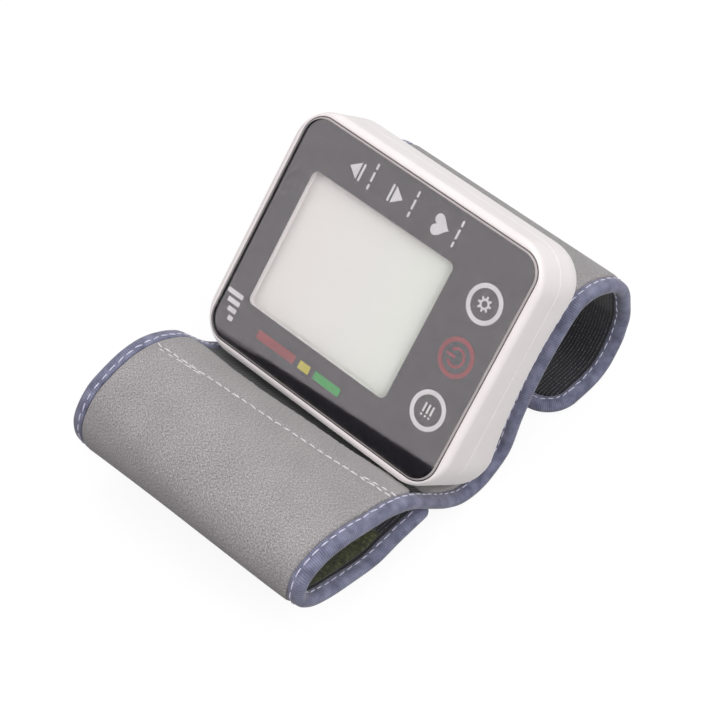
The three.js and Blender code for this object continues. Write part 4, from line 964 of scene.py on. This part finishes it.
def lining_cloth():
    """The ribbed black knit against the wrist, over the whole cuff."""
    along, across = cloth_grid(0, STRAP, 1.0, 70, open_start=True, open_end=True)
    depth = risen(inside(along, across), FLANGE, LINING_FACE, TAPE_FACE + 0.05, 1.0)
    cloth_piece("lining_cloth", along, across, -CORE, -depth, lining_knit, "cuff_lining")


def plain_grid(start, end, half, rows, columns):
    """Along and across places of a rectangle on the cuff, and how far each lies from its edge."""
    along, across = np.meshgrid(np.linspace(start, end, rows), np.linspace(-half, half, columns), indexing="ij")
    return along, across, np.minimum(np.minimum(along - start, end - along), half - np.abs(across))


def hook_tape():
    """The hook tape sewn on the lining at the left end, its corners eased and its edges heat-cut."""
    along, across, edge = plain_grid(HOOK_START, HOOK_END, HOOK_HALF, 80, 70)
    depth = HOOK_FACE - 0.6 + 0.6 * np.sqrt(np.clip(edge / 0.5, 0.02, 1))
    made = layer("hook_tape", along, across, -1.6, -depth, hook_tape_olive, 60)
    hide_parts("hook_patch")


def inner_sheets():
    """The springy curler between the cloths, over the whole cuff, and the flat air bladder below it."""
    along, across, _ = plain_grid(CURLER_INSET, STRAP - CURLER_INSET, SHEET_HALF, 160, 24)
    made = layer("curler_sheet", along, across, CURLER_HIGH, CURLER_LOW, SLOT_FINISHES["curler_sheet"], 60)
    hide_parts("cuff_stiffener")
    length = STRAP - 2 * BLADDER_INSET
    start, end = (BLADDER_INSET + share * length for share in (BLADDER_FROM, BLADDER_TO))
    along, across, edge = plain_grid(start, end, SHEET_HALF, 100, 24)
    swell = BLADDER_SWELL * np.sqrt(np.clip(edge / 2.5, 0.2, 1))
    made = layer("air_bladder", along, across, swell + BLADDER_MIDDLE, BLADDER_MIDDLE - swell,
                 SLOT_FINISHES["bladder_rubber"], 60)
    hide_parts("cuff_bladder")


def rim_line():
    """The cuff's outline by length: places along and across, and the way inwards, from the left end's middle."""
    places, ways = [], []
    corners = [(0, -1, 180), (1, -1, 270), (1, 1, 0), (0, 1, 90)]
    for end, side, start in corners:
        radius = (START_RADIUS, CUFF_RADIUS)[end]
        centre = np.array([(radius, STRAP - radius)[end], side * (CUFF_WIDTH / 2 - radius)])
        t = np.radians(start + np.linspace(0, 90, 46))
        ring = np.stack([np.cos(t), np.sin(t)], -1)
        places.append(centre + radius * ring)
        ways.append(-ring)
    places, ways = (np.vstack(v + [v[0][:1]]) for v in (places, ways))
    return reach_along(places), places, ways


RIM_REACH, RIM_PLACES, RIM_WAYS = rim_line()
RIM = RIM_REACH[-1]


def on_rim(run, inset, out):
    """Points at a length round the outline, drawn in by the inset, at a level: the way in turns with the arcs."""
    run = np.mod(run, RIM)
    place = [np.interp(run, RIM_REACH, RIM_PLACES[:, k]) for k in (0, 1)]
    way = [np.interp(run, RIM_REACH, RIM_WAYS[:, k]) for k in (0, 1)]
    return on_cuff(place[0] + inset * way[0], place[1] + inset * way[1], out)


def slow_wave(run, size, count, seed):
    """A smooth closed wobble round the rim: a few whole waves of seeded height and phase."""
    source = np.random.default_rng(seed)
    total = 0
    for k in range(3, count):
        total = total + source.normal() * np.sin(2 * np.pi * k * run / RIM + source.uniform(0, 6.3))
    return size * total / np.sqrt(count)


def edge_binding():
    """The folded tape round the whole cuff: a rounded fold outside, two faces lying on the cloth."""
    count, fold = 1500, 1.45
    run = np.arange(count) * RIM / count
    inner = TAPE_HALF - TAPE_THICKNESS
    lip = [(TAPE_FACE, inner), (TAPE_FACE, inner + 0.25), (TAPE_FACE - 0.15, TAPE_HALF - 0.08), (2.6, TAPE_HALF)]
    nose = [(fold - fold * np.cos(t), (TAPE_HALF + 0.02) * np.sin(t)) for t in np.linspace(-np.pi / 2, np.pi / 2, 9)]
    section = [(x, -z) for x, z in lip] + nose + lip[::-1] + [(0.75, inner - 0.1), (0.6, 0), (0.75, 0.1 - inner)]
    section = np.array(section)
    run, step = np.meshgrid(run, reach_along(section), indexing="ij")
    wobble = slow_wave(run, 0.1, 40, 3)
    inset = section[None, :, 0] * (1 + wobble * section[None, :, 0] / TAPE_FACE / 3)
    # Each tape face sinks a little between stitches, and the fold is never quite even.
    puff = 0.05 * np.sin(2 * np.pi * run / (RIM / STITCHES)) + slow_wave(run, 0.05, 60, 5)
    level = section[None, :, 1] * (1 + 0.35 * puff * (section[None, :, 0] > 1))
    points = on_rim(run, inset, level).reshape(-1, 3)
    faces = grid_faces(count, len(section), close_rows=True, close_columns=True).tolist()
    marks = {"tape": np.stack([run, step, 0 * run], -1).reshape(-1, 3)}
    made = piece("edge_binding", (points, faces), binding_tape, sharp=70, marks=marks, mirrored=False)
    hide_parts("binding_near", "binding_far")


def thread_dashes(centre, length, place, radius, seed):
    """Short runs of thread: each a thin bar that dives into the cloth at both ends and leans a little."""
    source = np.random.default_rng(seed)
    rings, sides, count = 7, 6, len(centre)
    share, turn = np.linspace(-1, 1, rings), np.arange(sides) * np.pi / 3
    lean = source.normal(0, 0.09, count)[:, None]
    size = length * source.uniform(0.86, 1.08, count)[:, None] / 2
    run = centre[:, None] + size * share[None, :]
    side = lean * share[None, :] + source.normal(0, 0.05, count)[:, None]
    rise = 0.1 * (1 - share[None, :] ** 4) - 0.03
    slim = radius * np.sqrt(1 - 0.75 * share**2)
    points = place(
        run[:, :, None] + 0 * turn, side[:, :, None] + (slim[None, :, None] * np.cos(turn)),
        rise[:, :, None] + slim[None, :, None] * np.sin(turn),
    )
    faces, per = [], rings * sides
    base = grid_faces(rings, sides, close_columns=True)
    for k in range(count):
        faces += (base + k * per).tolist()
        faces.append([k * per + m for m in range(sides - 1, -1, -1)])
        faces.append([k * per + per - sides + m for m in range(sides)])
    return points.reshape(-1, 3), faces


def binding_stitches():
    """The pale dashed row a millimetre inside the binding's edge, on both faces."""
    pitch = RIM / STITCHES
    centre = (np.arange(STITCHES) + 0.5) * pitch
    parts = []
    for face in (1, -1):
        def place(run, side, rise, face=face):
            return on_rim(run, STITCH_INSET + side, face * (TAPE_HALF + rise))
        parts.append(thread_dashes(centre, STITCH_LENGTH, place, STITCH_RADIUS, 11 + face))
    made = piece("binding_stitches", gather(parts), thread_lilac, sharp=60, mirrored=False)


def cross_seam():
    """The seam across the flap: one row of stitches, doubled at both ends where it was sewn back."""
    def row(low, high, shift, drift, seed):
        centre = np.arange(low, high, SEAM_PITCH)

        def place(run, side, rise):
            sink = FLEECE_FACE - 0.2
            return on_cuff(seam_line(run) + shift + drift * (run - low) + side, run, sink + rise)
        return thread_dashes(centre, SEAM_STITCH, place, SEAM_THREAD, seed)
    rows = [row(-30.6, 30.4, 0, 0, 21), row(19.5, 30.4, -0.9, -0.03, 22), row(-31, -22.5, 1.3, -0.06, 23)]
    made = piece("cross_seam", gather(rows), thread_pale, sharp=60, mirrored=False)


# Floor, light and camera


def seen_rays(owner):
    """One where a surface is seen directly, mirrored or through the lens, and zero where it lights others."""
    rays = add(owner, "ShaderNodeLightPath").outputs
    first = add(owner, "ShaderNodeMath", {0: rays["Is Camera Ray"], 1: rays["Is Glossy Ray"]}, operation="MAXIMUM")
    return add(owner, "ShaderNodeMath", {0: first, 1: rays["Is Transmission Ray"]}, operation="MAXIMUM")


def card(name, corners, material):
    """A flat sheet of the studio, not of the object."""
    thing = piece(name, (np.array(corners, float), [[0, 1, 2, 3]]), material, body=None)
    return thing


def floor_and_world():
    """A white floor that keeps the object's shadow, and a white surround that lights it gently."""
    material, shader = finish("studio_white", {"Roughness": 0.9})
    nodes = material.node_tree.nodes
    glow = add(material, "ShaderNodeEmission", {"Color": (1, 1, 1, 1), "Strength": 1.04})
    seen = seen_rays(material)
    # Seen directly it is white and keeps the shadow; to the object it is a plain grey table.
    add(material, "ShaderNodeValToRGB", {0: seen}, shader["Base Color"], [(0.0, 0x707070), (1.0, 0xF7F7F7)])
    share = add(material, "ShaderNodeMath", {0: seen, 1: 0.86}, operation="MULTIPLY")
    add(material, "ShaderNodeMixShader", {0: share, 1: nodes["Principled BSDF"], 2: glow},
        nodes["Material Output"].inputs["Surface"])
    size, level = 4.0, -0.0001
    card("floor", [(x * size, y * size, level) for x, y in ((-1, -1), (1, -1), (1, 1), (-1, 1))], material)
    world = bpy.data.worlds.new("studio")
    bpy.context.scene.world = world
    world.use_nodes = True
    ground = world.node_tree.nodes["Background"]
    # Seen directly or mirrored it is white; its light comes mostly from above, so undersides stay dark.
    way = add(world, "ShaderNodeTexCoord").outputs["Generated"]
    height = add(world, "ShaderNodeSeparateXYZ", {0: way}).outputs[2]
    light = add(world, "ShaderNodeMapRange", {0: height, 3: 0.12, 4: 0.85})
    add(world, "ShaderNodeMapRange", {0: seen_rays(world), 3: light, 4: 1.0}, ground.inputs["Strength"])
    ground.inputs["Color"].default_value = (1, 1, 1, 1)


def set_up(thing, right, back, place):
    """Puts a lamp or camera in its place, turned by its right and its backward direction."""
    turn = np.eye(4)
    turn[:3, 0], turn[:3, 1], turn[:3, 2], turn[:3, 3] = right, np.cross(back, right), back, place
    thing.matrix_world = Matrix(turn.tolist())
    bpy.context.scene.collection.objects.link(thing)


def softbox(name, place, toward, width, height, radiance, upward=(0, 0, 1), tint=(1, 1, 1)):
    """A lamp with an even face: its power is its radiance times its area times pi."""
    lamp = bpy.data.lights.new(name, "AREA")
    lamp.shape, lamp.size, lamp.size_y = "RECTANGLE", width, height
    lamp.energy = radiance * width * height * np.pi
    lamp.color = tint
    thing = bpy.data.objects.new(name, lamp)
    back = np.array(place, float) - np.array(toward, float)
    back /= np.linalg.norm(back)
    right = np.cross(upward, back)
    set_up(thing, right / np.linalg.norm(right), back, place)
    return thing


def studio_lamps():
    """One box that the panel mirrors, its edge along the panel's dark wedge, a large one above and one in front."""
    # The wedge's edge runs through two points of the panel; each mirrors the view into its own direction.
    distance, width, height = 1.2, 0.7, 1.0
    edge_a = on_case([-24.0, -33.0, 0.0]) + distance * np.array([-0.797, 0.4335, 0.420])
    edge_b = on_case([-27.8, 33.0, 0.0]) + distance * np.array([-0.761, 0.515, 0.395])
    centre = on_case([0.0, 0.0, 0.0]) + distance * np.array([-0.758, 0.481, 0.441])
    along = (edge_b - edge_a) / np.linalg.norm(edge_b - edge_a)
    middle = (edge_a + edge_b) / 2
    facing = centre - on_case([0.0, 0.0, 0.0])
    facing /= np.linalg.norm(facing)
    aside = np.cross(facing, along)
    aside *= np.sign(aside @ (centre - middle)) / np.linalg.norm(aside)
    spot = middle + aside * width / 2
    softbox("mirrored_box", spot, spot - facing, height, width, 1.15, upward=aside, tint=(1, 0.89, 0.95))
    flag = middle - facing * 0.01
    corners = [flag + a * aside + b * along * 0.5 for a, b in ((-0.6, -1), (0.002, -1), (0.002, 1), (-0.6, 1))]
    black = {"Base Color": (0.002, 0.002, 0.002, 1), "Roughness": 1.0, "Specular IOR Level": 0.0}
    card("black_flag", corners, finish("matt_black_card", black)[0]).visible_camera = False
    above = softbox("box_above", (0.45, 0, 1.25), (0, 0, 0), 1.4, 1.4, 0.8, upward=(0, 1, 0))
    front = softbox("box_in_front", (-0.1, -1.1, 1.0), (0, 0, 0.03), 1.0, 0.8, 4.4)
    for lamp in (above, front):
        lamp.visible_glossy = False


def camera():
    """The photograph's view, solved from the panel's corners and its round rings."""
    data = bpy.data.cameras.new("camera")
    data.sensor_width, data.lens = 36.0, 137.61
    thing = bpy.data.objects.new("camera", data)
    place = (ORIGIN + np.array([-255.61, -296.37, 476.28])) * MM
    right, ahead = np.array([0.69559, -0.71451, -0.07497]), np.array([0.39896, 0.47095, -0.78679])
    ahead /= np.linalg.norm(ahead)
    right -= ahead * (right @ ahead)
    set_up(thing, right / np.linalg.norm(right), -ahead, place)
    bpy.context.scene.camera = thing


def main():
    """Builds every piece, the studio and the camera."""
    case = (front_frame, back_shell, screw_wells, battery_lid, lens_plate, display_tray, panel_marks)
    cuff = (edge_binding, fleece_flap, painted_shade_strip, fleece_tail, lining_cloth, hook_tape, inner_sheets)
    sewing = (binding_stitches, cross_seam)
    for step in (camera, dress_frame, *case, *cuff, *sewing, floor_and_world, studio_lamps):
        step()
    bpy.context.scene.view_settings.view_transform = "Standard"


main()
